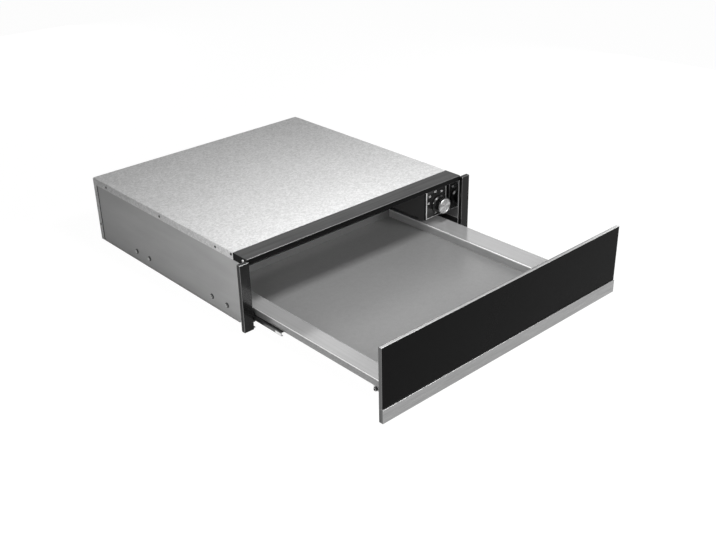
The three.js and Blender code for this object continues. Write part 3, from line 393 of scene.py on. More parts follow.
def folded(across, along, thickness, axes, origin=(0, 0, 0), drop=None):
    """Sheet folded along one line or both.

    point = origin + u U + v V + (rise across + rise along) N, where u and v run along the two
    lines, and each line's rise is its height over the sheet's flat. The two faces lie half a
    thickness either side along the summed normals. Cells that are folded both ways are left out,
    and so are those that drop(u, v, rise across, rise along) names. The kinds are 0, 1 and 2 for
    the outer face, the inner face and the edges.
    """
    (a, na), (b, nb), (U, V, N) = across, along, axes
    n, m = len(a), len(b)
    middle = (np.array(origin, float) + a[:, None, :1] * U + b[None, :, :1] * V
              + (a[:, None, 1:] + b[None, :, 1:]) * N)
    normal = (na[:, None, :1] * U + nb[None, :, :1] * V
              + (na[:, None, 1:] + nb[None, :, 1:] - 1) * N)
    normal /= np.linalg.norm(normal, axis=-1, keepdims=True)
    points = np.vstack([(middle + s * thickness / 2 * normal).reshape(-1, 3) for s in (1, -1)])
    at = np.arange(n * m).reshape(n, m)
    cu, hu = ((a[1:] + a[:-1]) / 2)[:, None, :].transpose(2, 0, 1)
    cv, hv = ((b[1:] + b[:-1]) / 2)[None, :, :].transpose(2, 0, 1)
    kept = ~((np.abs(hu) > TINY) & (np.abs(hv) > TINY))
    if drop is not None:
        kept &= ~drop(cu, cv, hu, hv)
    padded = np.pad(kept, 1)
    corner = [at[:-1, :-1], at[1:, :-1], at[1:, 1:], at[:-1, 1:]]
    top = np.stack([c[kept] for c in corner], 1)
    flat = normal.reshape(-1, 3)
    quads, kinds = [top, top[:, ::-1] + n * m], [0, 1]
    normals = [flat[top], -flat[top[:, ::-1]]]
    sides = (
        (padded[:-2, 1:-1], 0, 3), (padded[2:, 1:-1], 2, 1),
        (padded[1:-1, :-2], 1, 0), (padded[1:-1, 2:], 3, 2),
    )
    for beside, first, second in sides:
        bare = kept & ~beside
        p, q = corner[first][bare], corner[second][bare]
        quads.append(np.stack([p, q, q + n * m, p + n * m], 1))
        normals.append(None)
        kinds.append(2)
    return gathered(points, quads, normals, kinds)


def ring_quads(rows, columns):
    """Quads between neighbouring rings, where the points are rows of closed rings."""
    at = np.arange(rows * columns).reshape(rows, columns)
    after = np.roll(at, -1, 1)
    return np.stack([at[:-1], after[:-1], after[1:], at[1:]], -1).reshape(-1, 4)


def eased(low, high, ease, steps=3):
    """Block with rounded edges: a ball of radius ease, its eight eighths moved to the corners.

    point = middle + ease * direction + sign of the eighth * (half the size less ease).
    """
    low, high = np.minimum(low, high), np.maximum(low, high)
    half, middle = (high - low) / 2, (high + low) / 2
    quarter = np.linspace(0, math.pi / 2, steps + 1)
    turn = (quarter[None] + np.arange(4)[:, None] * math.pi / 2).ravel()
    lean = np.concatenate([quarter - math.pi / 2, quarter])[:, None]
    sx = np.repeat([1, -1, -1, 1], steps + 1)
    sy = np.repeat([1, 1, -1, -1], steps + 1)
    sz = np.repeat([-1, 1], steps + 1)[:, None]
    way = np.stack(np.broadcast_arrays(
        np.cos(lean) * np.cos(turn), np.cos(lean) * np.sin(turn), np.sin(lean)), -1)
    eighth = np.stack(np.broadcast_arrays(sx, sy, sz), -1)
    points = (middle + ease * way + eighth * (half - ease)).reshape(-1, 3)
    body = ring_quads(len(lean), len(turn))
    corners = np.arange(4) * (steps + 1)
    ends = np.stack([corners[::-1], corners + (len(lean) - 1) * len(turn)])
    ways = way.reshape(-1, 3)
    return gathered(points, [body, ends], [ways[body], ways[ends]], [0, 0])


def around(centre, axis, radii, rises, t):
    """Rings about an axis: point = centre + radius (cos t A + sin t B) + rise * axis."""
    A = np.roll(axis, 1)
    B = np.cross(axis, A)
    ring = np.cos(t)[:, None] * A + np.sin(t)[:, None] * B
    points = np.asarray(centre, float) + radii[..., None] * ring + rises[:, None, None] * axis
    return points.reshape(-1, 3)


def turned(profile, centre, axis, steps, flutes=0, flute=0.0, fluted=(0.0, 0.0)):
    """Piece turned about an axis, from a profile of (radius, rise) points.

    Between the two fluted rises, the radius loses flute * (1 - cos(flutes t)) / 2.
    """
    line = np.asarray(profile, float)
    t = np.linspace(0, 2 * math.pi, steps + 1)[:-1]
    rows = (line[:, 1] > fluted[0]) & (line[:, 1] < fluted[1])
    radii = line[:, :1] - rows[:, None] * flute * (1 - np.cos(flutes * t)) / 2
    points = around(centre, axis, radii, line[:, 1], t)
    return gathered(points, [ring_quads(len(line), steps)], [None], [0])


def wrapped(profile, steps):
    """Map of a turned piece's quads: turned angle across, length of the profile up."""
    length = np.append(0, np.cumsum(np.linalg.norm(np.diff(profile, axis=0), axis=1)))
    turn = np.arange(steps)[None].repeat(len(profile) - 1, 0)
    across = np.stack([turn, turn + 1, turn + 1, turn], -1) / steps
    rise = np.stack([length[:-1], length[:-1], length[1:], length[1:]], -1)
    return np.stack([across, rise[:, None].repeat(steps, 1)], -1).reshape(-1, 4, 2)


def screw_head(centre, axis, radius, height, recess, kind="cross"):
    """Screw head with a recess: circles over the dome, then rings on the recess's outline.

    The outline is the larger reach of two crossed bars, or a hexagon's reach at each angle.
    Faces are 0 on the crown, 1 in the recess and 2 down the sides.
    """
    steps = 48
    t = np.linspace(0, 2 * math.pi, steps + 1)[:-1] + math.pi / steps
    if kind == "cross":
        c, s, bar = np.abs(np.cos(t)), np.abs(np.sin(t)), recess * 0.3
        outline = np.maximum(np.minimum(recess / c, bar / s), np.minimum(bar / c, recess / s))
    else:
        outline = recess / np.cos((t + math.pi / 6) % (math.pi / 3) - math.pi / 6)
    dome = radius * np.array([0.0, 1.0, 0.97, 0.88, 0.72])[:, None] * np.ones(steps)
    radii = np.vstack([dome, outline, outline, np.zeros(steps)])
    rises = height * np.array([0.0, 0.0, 0.35, 0.78, 1.0, 1.0, 0.25, 0.25])
    points = around(centre, axis, radii, rises, t)
    shape = gathered(points, [ring_quads(len(rises), steps)], [None], [0])
    return shape[:3] + (np.repeat([2, 2, 2, 2, 0, 1, 1], steps),)


def outward(shape):
    """The shape with its quads and normals turned outwards, from the sign of its volume."""
    points, quads, normals, kinds = shape
    a, b, c, d = points[quads].transpose(1, 0, 2)
    face = np.cross(c - a, d - b)
    if (a * (np.cross(b, c) + np.cross(c, d))).sum() < 0:
        quads, normals, face = quads[:, ::-1], normals[:, ::-1], -face
    against = (face * normals.mean(1)).sum(1) < 0
    return points, quads, np.where(against[:, None, None], -normals, normals), kinds


def joined(*shapes):
    """Several closed shapes as one."""
    points, quads, normals, kinds = zip(*(outward(shape) for shape in shapes))
    start = np.cumsum([0] + [len(p) for p in points[:-1]])
    quads = np.vstack([q + k for q, k in zip(quads, start)])
    return np.vstack(points), quads, np.vstack(normals), np.concatenate(kinds)


def all_over(shape, kind):
    """The shape with one finish on all its faces."""
    return shape[:3] + (np.full(len(shape[1]), kind),)


def picked(shape, kind, test):
    """The shape with another finish on the faces whose mean normal passes the test."""
    points, quads, normals, kinds = outward(shape)
    return points, quads, normals, np.where(test(*normals.mean(1).T), kind, kinds)


def piece(name, shape, finishes, body, replaces="", place=None, smooth=None):
    """Makes the mesh: welds shared corners, drops collapsed sides, and rides on its body.

    The normals are the shape's own or, where smooth is given, smooth up to that many degrees.
    """
    points, quads, normals, kinds = outward(shape)
    if place is not None and not np.array_equal(quads, shape[1]):
        place = place[:, ::-1]
    corners = points[quads].reshape(-1, 3)
    _, first, index = np.unique(
        np.round(corners, 4), axis=0, return_index=True, return_inverse=True)
    f = index.reshape(quads.shape)
    fresh = f != np.roll(f, 1, axis=1)
    good = fresh.sum(1) > 2
    f, fresh, normals, kinds = f[good], fresh[good], normals[good], kinds[good]
    total = fresh.sum(1)
    if not isinstance(finishes, list):
        finishes = [finishes]
    kinds = np.minimum(kinds, len(finishes) - 1)

    mesh = bpy.data.meshes.new(name)
    for finish in finishes:
        mesh.materials.append(finish)
    mesh.vertices.add(len(first))
    mesh.vertices.foreach_set("co", (corners[first] * MM).astype(np.float32).ravel())
    mesh.loops.add(int(total.sum()))
    mesh.loops.foreach_set("vertex_index", f[fresh].astype(np.int32))
    mesh.polygons.add(len(f))
    starts = np.append(0, np.cumsum(total)[:-1])
    mesh.polygons.foreach_set("loop_start", starts.astype(np.int32))
    mesh.polygons.foreach_set("use_smooth", np.ones(len(f), bool))
    mesh.polygons.foreach_set("material_index", kinds.astype(np.int32))
    mesh.update(calc_edges=True)
    if place is not None:
        layer = mesh.uv_layers.new(name="turning")
        layer.data.foreach_set("uv", place[good][fresh].astype(np.float32).ravel())
    if smooth is None:
        mesh.normals_split_custom_set(normals[fresh].tolist())
    else:
        mesh.set_sharp_from_angle(angle=math.radians(smooth))

    made = bpy.data.objects.new(name, mesh)
    bpy.context.scene.collection.objects.link(made)
    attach(made, body)
    if replaces:
        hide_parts(replaces)


# ---------------------------------------------------------------- casing

SIDES = (("left", -1), ("right", 1))
SHEET = 1.0
WALL_FACE = 268.8  # from the middle plane to the side sheets' outer faces
FOLD_FACE = 270.0  # the same, to the outer faces of the cover's and the back panel's folds
BACK_FOLD = 11.2  # length of the back panel's folds, with the gap ahead of them
CAP_BEND = 1.1  # bend of the cover, the trim bar and the panel's liner
SCREW_SMOOTH = 35  # degrees between faces, up to which a screw or washer is smooth


def cap_line(half, drop):
    """Line of a sheet with a fold down at each end."""
    return bent_line([(-half, -drop), (-half, 0), (half, 0), (half, -drop)], CAP_BEND)


def cover():
    """Flat cover with a fold down each side, which ends ahead of the back panel's folds."""
    low, high = spot("top_cover")
    top, fold_end = high[2] - SHEET / 2, high[1] - BACK_FOLD
    across = cap_line(high[0] - SHEET / 2, top - low[2])
    along = straight(low[1], high[1], (fold_end,))
    shape = folded(across, along, SHEET, (X, Y, Z), (0, 0, top),
                   lambda u, v, hu, hv: (hu < -TINY) & (v > fold_end))
    piece("cover_sheet", shape, [ZINC_COVER, ZINC_SIDE, CUT_EDGE],
          "casing", "top_cover")


def back_beads():
    """Dark rubber bead where the back panel's folds end on the side walls: a painted shadow of the
    gap.
    """
    foot, head, ease = 3.0, 127.0, 0.4
    edge = spot("back_panel")[1][1] - BACK_FOLD
    for word, side in SIDES:
        bead = eased((side * (WALL_FACE - 0.2), edge - 1.6, foot),
                     (side * (WALL_FACE + 0.8), edge + 0.4, head), ease)
        piece(f"back_gap_shadow_bead_{word}", bead, RUBBER, "casing")


def trim_bar():
    """Bar over the drawer: its nose is hemmed back on itself, and each end folds down."""
    nose_foot, hem_head, hem_gap, bend = 129.5, 137.6, 1.3, 0.65
    ends_start, end_bend = -262.8, 1.7
    low, high = spot("top_trim_bar")
    top, nose = high[2] - SHEET / 2, low[1] + SHEET / 2
    hem, foot = nose + hem_gap, nose_foot - top
    along = bent_line([(hem, hem_head - top), (hem, foot), (nose, foot), (nose, 0), (high[1], 0)],
                      bend)
    across = cap_line(high[0] - SHEET / 2, top - low[2])
    flat_end = high[0] - end_bend
    shape = folded(across, marked(along, (ends_start,)), SHEET, (X, Y, Z), (0, 0, top),
                   lambda u, v, hu, hv: (np.abs(u) > flat_end) & (v < ends_start))
    paint, shade, nose_highlight = 0, 1, 2
    shape = all_over(shape, paint)
    # faces turned to the front, the ends and the back get a darker finish: painted shade
    shape = picked(shape, shade, lambda x, y, z: (y < -0.9) | (np.abs(x) > 0.8) | (y > 0.9))
    # the nose's bend gets a lighter finish: a painted highlight
    shape = picked(shape, nose_highlight, lambda x, y, z: (y < -0.35) & (y >= -0.9) & (z > 0.2))
    piece("trim_bar_fold", shape, [BAR_PAINT, BAR_SHADE, BAR_HIGHLIGHT],
          "casing", "top_trim_bar")


def side_walls():
    """Casing's sides: zinc outside, smooth steel inside, folded in at the head and foot."""
    fold, bend = 8.5, 1.2
    for word, side in SIDES:
        low, high = spot(f"side_panel_{word}")
        foot, head = low[2] + SHEET / 2, high[2] - SHEET / 2
        across = bent_line([(foot, -fold), (foot, 0), (head, 0), (head, -fold)], bend)
        shape = folded(across, straight(low[1], high[1]), SHEET, (Z, Y, side * X),
                       (side * (WALL_FACE - SHEET / 2), 0, 0))
        piece(f"side_sheet_{word}", shape, [ZINC_SIDE, ZINC_INSIDE, CUT_EDGE],
              "casing", f"side_panel_{word}")


def side_trims():
    """Glossy upright trims with eased edges, and a painted highlight on the front-left and top
    edges.
    """
    ease, edge_highlight = 1.4, 1
    for word, _ in SIDES:
        shape = eased(*spot(f"side_trim_{word}"), ease, 4)
        # the front-left edge and the top's eased edges get a lighter metal finish: a painted
        # highlight
        shape = picked(shape, edge_highlight, lambda x, y, z: (x < -0.2) & (y < -0.2))
        shape = picked(shape, edge_highlight, lambda x, y, z: (z > 0.3) & (z < 0.95) & (y < 0.1))
        piece(f"side_trim_{word}_bar", shape, [TRIM_BLACK, TRIM_HIGHLIGHT],
              "casing", f"side_trim_{word}")


def cover_screws():
    """Screws along the cover's folds, at the trim bar's ends and on the back panel's folds.

    Each row is a name, y, z, the head's (radius, height, reach of the recess), finish and slot.
    """
    small, large, shallow = (2.6, 1.2, 1.5), (2.8, 1.4, 1.6), (2.8, 1.4, 1.4)
    for word, side in SIDES:
        rows = (
            (f"cover_screw_{word}_1", -173.0, 133.0, small, SCREW_METAL, "galvanised"),
            (f"cover_screw_{word}_2", 10.0, 133.0, small, SCREW_METAL, "galvanised"),
            (f"cover_screw_{word}_3", 210.0, 133.0, small, SCREW_METAL, "galvanised"),
            (f"cover_screw_{word}_4", -221.0, 135.5, large, SCREW_METAL, "galvanised"),
            (f"bar_screw_{word}", -256.0, 134.5, shallow, BORDER_METAL, "bar_grey"),
            (f"back_screw_{word}", 257.0, 37.0, small, SCREW_METAL, "galvanised"),
        )
        for name, y, z, sizes, finish, slot in rows:
            head = screw_head((side * FOLD_FACE, y, z), side * X, *sizes)
            piece(name, head, finish, "casing", smooth=SCREW_SMOOTH)


def runner_screws(word, side):
    """A runner's screws through the side wall, each on a dark washer, which is a painted shadow
    ring.
    """
    radius, height, recess = 3.8, 2.0, 2.4
    shank_profile = [(0, -3.1), (1.6, -3.1), (2.0, -2.4), (2.0, 0), (0, 0)]
    washer_profile = [(3.0, 0), (5.4, 0), (5.4, 0.4), (5.0, 0.6), (3.0, 0.6), (3.0, 0)]
    for i in range(1, 5):
        low, high = spot(f"runner_screw_{word}_{i}")
        _, y, z = (low + high) / 2
        seat = (side * (WALL_FACE + 0.2), y, z)
        head = screw_head(seat, side * X, radius, height, recess)
        shank = turned(shank_profile, seat, side * X, 24)
        # the crown is bright metal, a painted highlight, and the head's sides are black, painted
        # shade
        piece(f"runner_pan_screw_{word}_{i}", joined(head, shank),
              [BORDER_METAL, BLACK_PLASTIC, BLACK_PLASTIC],
              "casing", f"runner_screw_{word}_{i}", smooth=SCREW_SMOOTH)
        # the black washer round the head is a painted shadow ring
        washer = turned(washer_profile, (side * (WALL_FACE + 0.05), y, z), side * X, 48)
        piece(f"runner_shadow_washer_{word}_{i}", washer, BLACK_PLASTIC,
              "casing", smooth=SCREW_SMOOTH)


def runners():
    """Channel on each side wall, the slide that runs in it, the drawer's rail, and the screws."""
    thick, channel_bend, bend = 1.2, 0.9, 0.8
    half, lip, web_top = thick / 2, 3.0, 25.0
    tongue_proud, tongue_thick, tongue_start, tongue_end, tongue_ease = 0.6, 0.5, 0.5, 16.5, 0.2
    finishes = [STEEL_RUNNER, STEEL_RUNNER, CUT_EDGE]
    for word, side in SIDES:
        def stock(name, points, radius, body, node):
            low, high = spot(node)
            line = bent_line(points, radius)
            shape = folded(line, straight(low[1], high[1]), thick, (side * X, Y, Z))
            piece(name, shape, finishes, body, node)

        node = f"runner_channel_{word}"
        low, high = spot(node)
        out, inn = offsets(low, high)
        out, foot, head = out - half, low[2] + half, high[2] - half
        stock(f"runner_track_{word}", [(inn, foot), (out, foot), (out, head), (inn, head)],
              channel_bend, "casing", node)

        node, body = f"runner_slide_{word}", f"slide_{word}"
        low, high = spot(node)
        out, fin = offsets(low, high)
        out, fin, foot, web = out - half, fin + half, low[2] + half, web_top - half
        stock(f"runner_member_{word}",
              [(out - lip, foot), (out, foot), (out, web), (fin, web), (fin, high[2])],
              bend, body, node)
        inner = out + tongue_proud
        tongue = eased(
            (side * inner, low[1] + tongue_start, foot - 0.2),
            (side * (inner + tongue_thick), low[1] + tongue_end, web - 0.8), tongue_ease)
        piece(f"slide_tongue_{word}", tongue, BORDER_METAL, body)

        node = f"drawer_rail_{word}"
        low, high = spot(node)
        out, inn = offsets(low, high)
        out, inn, head = out - half, inn + half, high[2] - half
        stock(f"rail_{word}", [(inn, low[2]), (inn, head), (out, head), (out, low[2])],
              bend, "drawer", node)

        runner_screws(word, side)


# ---------------------------------------------------------------- drawer


def tray():
    """Tray: skirt, rim, tub and rim in one folded sheet, with an upright at each end of the tub."""
    tub_left, tub_right, tub_floor, skirt_foot = -222.0, 207.0, 21.8, 26.0
    upright_foot, upright_head, upright_inset, upright_gap = 21.9, 38.7, 0.8, 0.6
    bends, within_rims = (1.2, 1.8, 1.6, 1.6, 1.8, 1.2), 230.0
    low, high = spot("drawer_tray")
    outer, rim = high[0] - SHEET / 2, high[2] - SHEET / 2
    left, right, floor = tub_left - SHEET / 2, tub_right + SHEET / 2, tub_floor - SHEET / 2
    line = bent_line([
        (-outer, skirt_foot), (-outer, rim), (left, rim), (left, floor),
        (right, floor), (right, rim), (outer, rim), (outer, skirt_foot),
    ], bends)
    inner_wall, skirt, bend, upright, crest = 1, 3, 4, 5, 6
    sheet = folded(line, straight(low[1], high[1]), SHEET, (X, Y, Z))
    # the outer skirts get a darker copy of the steel: painted shade
    sheet = picked(sheet, skirt, lambda x, y, z: (np.abs(x) > 0.9) & (np.abs(y) < 0.1))
    # the bends get a lighter copy of the steel: a painted highlight
    sheet = picked(sheet, bend, lambda x, y, z: (z > 0.25) & (z < 0.95))
    points, quads, normals, kinds = sheet
    across = points[quads].mean(1)[:, 0]
    of_tub = np.abs(across) < within_rims
    kinds = np.where((kinds == skirt) & of_tub, inner_wall, kinds)
    # the tub's right-hand bends get a lighter finish still: a painted highlight
    kinds = np.where((kinds == bend) & of_tub & (across > 0), crest, kinds)
    wall = bent_line([(upright_foot, 0), (upright_head, 0)])
    width = straight(left + upright_gap, right - upright_gap)
    # the uprights get a darker copy of the plate's satin: painted shade
    uprights = [
        all_over(folded(wall, width, SHEET, (Z, X, Y), (0, y, 0)), upright)
        for y in (low[1] + upright_inset, high[1] - upright_inset)
    ]
    piece("tray_sheet", joined((points, quads, normals, kinds), *uprights), [
        STEEL_ALONG, STEEL_PLAIN, CUT_EDGE, SKIRT_SHADE, BEND_HIGHLIGHT, SATIN_SHADE, CREST_HIGHLIGHT,
    ], "drawer", "drawer_tray")


def base_plate():
    """Loose plate on the tub's floor."""
    ease = 0.45
    piece("tray_base_plate", eased(*spot("base_plate"), ease), SATIN_PLATE,
          "drawer", "base_plate")


def front_panel():
    """Glass pane in a thin metal frame, with the brushed strip along its foot."""
    thick, lip, ends_foot = 2.3, 1.0, 27.7
    frame_ease, head_ease, glass_ease, strip_ease = 0.25, 0.45, 0.5, 0.6
    low, high = spot("front_frame")
    front, back = low[1], high[1] - thick
    plate = eased((low[0], back, low[2]), high, frame_ease, 2)
    head = eased((low[0], front, high[2] - lip), (high[0], back, high[2]), head_ease, 2)
    ends = [
        eased((x, front, ends_foot), (x + lip, back, high[2] - lip), frame_ease, 2)
        for x in (low[0], high[0] - lip)
    ]
    top_highlight, end_shade = 1, 2
    # the frame's top faces get a lighter finish: a painted highlight
    head = picked(head, top_highlight, lambda x, y, z: z > 0.3)
    # the frame's left end faces get a darker finish: painted shade
    plate, *ends = (picked(s, end_shade, lambda x, y, z: x < -0.3) for s in (plate, *ends))
    piece("panel_frame", joined(head, plate, *ends), [FRAME_METAL, FRAME_HIGHLIGHT, FRAME_SHADE],
          "drawer", "front_frame")

    piece("panel_glass", eased(*spot("front_glass"), glass_ease), GLASS_BLACK,
          "drawer", "front_glass")

    strip = eased(*spot("front_strip"), strip_ease)
    # the strip's top faces and front-left edge get a lighter finish: a painted highlight
    strip = picked(strip, top_highlight, lambda x, y, z: (z > 0.3) | ((x < -0.3) & (y < -0.3)))
    # the strip's end faces get a darker finish: painted shade
    strip = picked(strip, end_shade, lambda x, y, z: np.abs(x) > 0.75)
    piece("panel_foot_strip", strip, [STRIP_METAL, FRAME_HIGHLIGHT, FRAME_SHADE],
          "drawer", "front_strip")


def panel_liner():
    """Shallow pan behind the panel, with its four sides folded towards the panel."""
    low, high = spot("panel_liner")
    back, foot, head = high[1] - SHEET / 2, low[2] + SHEET / 2, high[2] - SHEET / 2
    deep = back - low[1]
    across = cap_line(high[0] - SHEET / 2, deep)
    along = bent_line([(foot, -deep), (foot, 0), (head, 0), (head, -deep)], CAP_BEND)
    piece("panel_back_liner", folded(across, along, SHEET, (X, Z, Y), (0, back, 0)),
          [STEEL_PLAIN, STEEL_PLAIN, CUT_EDGE], "drawer", "panel_liner")


def bracket_bolts():
    """Button-headed bolts with a hexagon socket, a lighter crown as a painted highlight and dark
    sides as painted shade.
    """
    radius, height, socket = 4.0, 4.2, 1.7
    shank_profile = [(0, -8), (2.1, -8), (2.5, -7.3), (2.5, 0), (0, 0)]
    for word, side in SIDES:
        low, high = spot(f"bracket_bolt_{word}")
        _, y, z = (low + high) / 2
        seat = (side * (offsets(low, high)[0] - height), y, z)
        head = screw_head(seat, side * X, radius, height, socket, "hex")
        shank = turned(shank_profile, seat, side * X, 24)
        # the crown gets a lighter finish, a painted highlight, and the sides a dark one, painted
        # shade
        piece(f"socket_bolt_{word}", joined(head, shank),
              [FRAME_HIGHLIGHT, BLACK_PLASTIC, SCREW_METAL],
              "drawer", f"bracket_bolt_{word}", smooth=SCREW_SMOOTH)


# ---------------------------------------------------------------- controls

KNOB_AXIS = (240.0, 77.0)
FASCIA_FRONT = -232.0


def knob():
    """Fluted black knob with its skirt and spindle, and the spun metal cap on its face."""
    x, z = KNOB_AXIS
    centre = (x, 0.0, z)
    back = FASCIA_FRONT - 0.6
    skirt, face, spindle_end = back - 3.0, back - 19.0, -209.0
    waist, grip_end = (face + skirt) / 2, skirt - 2.0
    grip_radius, waist_radius, skirt_radius, spindle_radius = 14.5, 14.1, 18.0, 3.0
    profile = bent_line([
        (0, face), (grip_radius, face), (waist_radius, waist), (grip_radius, grip_end),
        (17.2, skirt), (skirt_radius, skirt + 0.9), (skirt_radius, back),
        (spindle_radius, back), (spindle_radius, spindle_end), (0, spindle_end),
    ], radius=0.35, steps=3)[0]
    # the grip's rows are swapped for even ones, so that the flutes start and end cleanly
    radii, rises = profile.T
    grip = np.nonzero((rises > face + 0.6) & (rises < skirt - 2.6) & (radii > 10))[0]
    rows = np.linspace(face + 1.2, skirt - 3.0, 8)
    even = np.interp(rows, [face, waist, grip_end], [grip_radius, waist_radius, grip_radius])
    profile = np.vstack([
        profile[:grip[0]], np.stack([even, rows], 1), profile[grip[-1] + 1:]])
    body = turned(profile, centre, Y, 144, flutes=24, flute=0.5,
                  fluted=(face + 1.0, skirt - 2.8))
    piece("knob_body", body, KNOB_BLACK, "knob", "control_knob", smooth=40)

    low, high = spot("knob_cap")
    front, rim = low[1], high[1]
    inner, outer, hollow, steps = 14.7, 16.5, rim - 4.0, 96
    profile = bent_line([
        (0, hollow), (inner, hollow), (inner, rim), (outer, rim), (outer, front + 0.9),
        (15.4, front), (13.2, front), (12.6, front + 0.35), (0, front + 0.55),
    ], radius=0.25, steps=3)[0]
    piece("knob_spun_cap", turned(profile, centre, Y, steps), CAP_METAL,
          "knob", "knob_cap", place=wrapped(profile, steps), smooth=30)

    # the pointer's corners, from the knob's axis on its skirt's front
    low, high, ease = (-17.6, -0.35, 5.6), (-14.9, 0.2, 7.2), 0.15
    tick = eased(np.add((x, skirt, z), low), np.add((x, skirt, z), high), ease, 2)
    piece("knob_pointer", tick, DIAL_PRINT, "knob")


def dial():
    """Raised bright border of the fascia, and the plain numbers round the knob."""
    y = FASCIA_FRONT
    left, right, foot, head = 204.2, 264.0, 50.6, 136.0
    wide, proud, ease = 2.6, 1.6, 0.4
    level_high, level_proud, level_ease = 1.6, 0.96, 0.3
    uprights = [
        eased((x, y - proud, foot), (x + wide, y, head), ease) for x in (left, right - wide)
    ]
    level = eased((left + wide, y - level_proud, foot), (right - wide, y, foot + level_high),
                  level_ease)
    piece("fascia_border", joined(*uprights, level), BORDER_METAL, "casing")

    size, half_thick, bold, lift = 6.5, 0.05, 0.10, 0.06
    numbers = (("30", 234.5, 58.0), ("40", 212.4, 84.0), ("50", 216.0, 98.5),
               ("60", 232.5, 105.0), ("70", 250.5, 100.5))
    for word, x, z in numbers:
        name = f"dial_number_{word}"
        text = bpy.data.curves.new(name, "FONT")
        text.body, text.size = word, size * MM
        text.extrude, text.offset = half_thick * MM, bold * MM
        text.align_x, text.align_y = "CENTER", "CENTER"
        drawn = bpy.data.objects.new("drawn", text)
        bpy.context.scene.collection.objects.link(drawn)
        bpy.context.view_layer.update()
        outline = drawn.evaluated_get(bpy.context.evaluated_depsgraph_get())
        mesh = bpy.data.meshes.new_from_object(outline)
        bpy.data.objects.remove(drawn)
        mesh.name = name
        mesh.transform(Matrix((
            (1, 0, 0, x * MM), (0, 0, -1, (y - lift) * MM), (0, 1, 0, z * MM), (0, 0, 0, 1))))
        mesh.materials.clear()
        mesh.materials.append(DIAL_PRINT)
        made = bpy.data.objects.new(name, mesh)
        bpy.context.scene.collection.objects.link(made)
        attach(made, "casing")


# ---------------------------------------------------------------- stage, light and camera

WHITE = (1.0, 1.0, 1.0, 1.0)
WORLD_LIGHT = 0.05  # the world as a lamp
WORLD_SEEN = 0.98  # the world where it is seen
FLOOR_GREY = (0.8, 0.8, 0.8, 1.0)
FLOOR_GLOW = 1.08  # the floor where it is seen
FLOOR_GLOW_SHARE = 0.9  # of that glow, the rest being the floor's own shading
FLOOR_REACH = 40.0

# Name, place and aim in metres, width and depth in metres, and power in watts.
LAMPS = (
    ("key_softbox", (-0.04, -0.50, 0.85), (-0.04, -0.48, 0.0), (0.20, 0.20), 7.3),
    ("side_fill", (-0.9, -0.7, 0.24), (-0.27, 0.0, 0.07), (0.5, 0.3), 4.3),
    ("right_fill", (1.7, 0.1, 0.22), (0.27, -0.1, 0.07), (1.0, 0.4), 9.0),
    ("back_fill", (0.2, 2.1, 0.22), (0.0, 0.26, 0.07), (1.0, 0.4), 13.0),
    ("front_fill", (0.45, -1.6, 0.8), (0.1, -0.4, 0.08), (0.8, 0.6), 21.4),
)


def seen_directly(tree):
    """1 for rays from the camera, a mirror or glass, and 0 for the light that falls on things."""
    rays = add_node(tree, "ShaderNodeLightPath").outputs
    seen = rays["Is Camera Ray"]
    for name in ("Is Glossy Ray", "Is Transmission Ray"):
        most = add_node(tree, "ShaderNodeMath", {0: seen, 1: rays[name]}, operation="MAXIMUM")
        seen = most.outputs[0]
    return seen


def backdrop():
    """World that is white where it is seen, and dim as a lamp."""
    world = bpy.data.worlds.new("studio")
    bpy.context.scene.world = world
    world.use_nodes = True
    tree = world.node_tree
    dim = tree.nodes["Background"]
    dim.inputs["Color"].default_value = WHITE
    dim.inputs["Strength"].default_value = WORLD_LIGHT
    bright = add_node(tree, "ShaderNodeBackground", {"Color": WHITE, "Strength": WORLD_SEEN})
    mix = add_node(tree, "ShaderNodeMixShader", {
        0: seen_directly(tree), 1: dim.outputs[0], 2: bright.outputs[0],
    })
    tree.links.new(mix.outputs[0], tree.nodes["World Output"].inputs["Surface"])


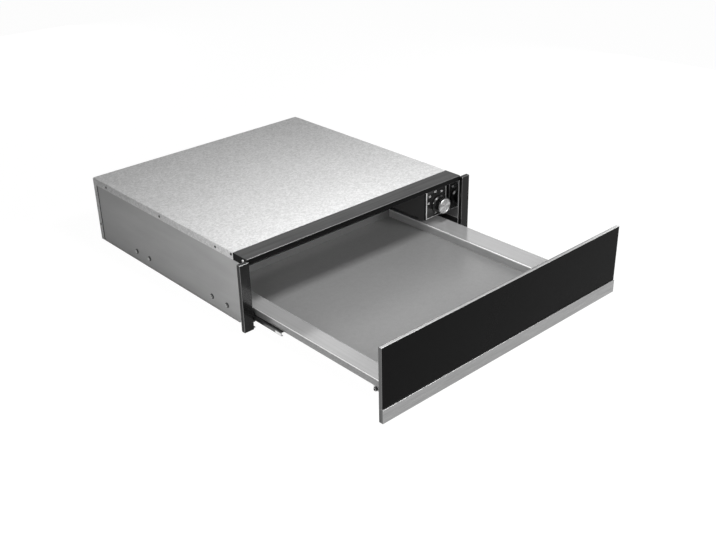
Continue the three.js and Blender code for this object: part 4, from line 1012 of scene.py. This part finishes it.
def studio_floor():
    """Matt floor that glows where it is seen, so that it runs into the backdrop."""
    finish = bpy.data.materials.new("pale_floor")
    finish.use_nodes = True
    tree = finish.node_tree
    tree.nodes.clear()
    matt = add_node(tree, "ShaderNodeBsdfDiffuse", {"Color": FLOOR_GREY})
    glow = add_node(tree, "ShaderNodeEmission", {"Strength": FLOOR_GLOW})
    share = add_node(
        tree, "ShaderNodeMath", {0: seen_directly(tree), 1: FLOOR_GLOW_SHARE}, operation="MULTIPLY")
    mix = add_node(tree, "ShaderNodeMixShader", {
        0: share.outputs[0], 1: matt.outputs[0], 2: glow.outputs[0],
    })
    add_node(tree, "ShaderNodeOutputMaterial", {"Surface": mix.outputs[0]})
    mesh = bpy.data.meshes.new("floor")
    far = FLOOR_REACH
    corners = [(-far, -far, 0), (far, -far, 0), (far, far, 0), (-far, far, 0)]
    mesh.from_pydata(corners, [], [(0, 1, 2, 3)])
    mesh.materials.append(finish)
    floor = bpy.data.objects.new("floor", mesh)
    bpy.context.scene.collection.objects.link(floor)


def facing(made, side, up, back, place):
    """Places a lamp or the camera, which looks against its back axis."""
    view = Matrix(np.stack([side, up, back], 1).tolist()).to_4x4()
    view.translation = place
    made.matrix_world = view


def lamps():
    """Soft lamps, each turned to its aim. Their wide side is level, across the depth axis Y.

    The small rise in that axis keeps it clear of a lamp's own direction.
    """
    depth = (0.0, 1.0, 0.001)
    for name, place, aim, (wide, deep), power in LAMPS:
        light = bpy.data.lights.new(name, "AREA")
        light.shape, light.size, light.size_y, light.energy = "RECTANGLE", wide, deep, power
        lamp = bpy.data.objects.new(name, light)
        bpy.context.scene.collection.objects.link(lamp)
        lamp.visible_camera = False
        back = np.subtract(place, aim)
        back /= np.linalg.norm(back)
        side = np.cross(depth, back)
        side /= np.linalg.norm(side)
        facing(lamp, side, np.cross(back, side), back, place)


def camera():
    """Camera at the photograph's angle: the back axis from azimuth and elevation, then the roll."""
    azimuth, elevation, roll = -0.729529, 0.479877, -0.0232821
    place = (-1.12405, -1.50589, 0.89333)
    focal_px, width_px, sensor_mm, clip_end = 981.3965, 716.0, 36.0, 100.0
    level = math.cos(elevation)
    back = np.array([math.sin(azimuth) * level, -math.cos(azimuth) * level, math.sin(elevation)])
    side = np.cross(-back, Z)
    side /= np.linalg.norm(side)
    up = np.cross(side, -back)
    c, s = math.cos(roll), math.sin(roll)
    data = bpy.data.cameras.new("camera")
    data.sensor_fit, data.sensor_width = "HORIZONTAL", sensor_mm
    data.lens = focal_px * sensor_mm / width_px
    data.clip_end = clip_end
    made = bpy.data.objects.new("camera", data)
    bpy.context.scene.collection.objects.link(made)
    facing(made, c * side + s * up, -s * side + c * up, back, place)
    bpy.context.scene.camera = made


camera()
cover()
back_beads()
trim_bar()
side_walls()
side_trims()
cover_screws()
runners()
tray()
base_plate()
front_panel()
panel_liner()
bracket_bolts()
knob()
dial()
finish_frame()
backdrop()
studio_floor()
lamps()
bpy.context.scene.view_settings.view_transform = "Standard"
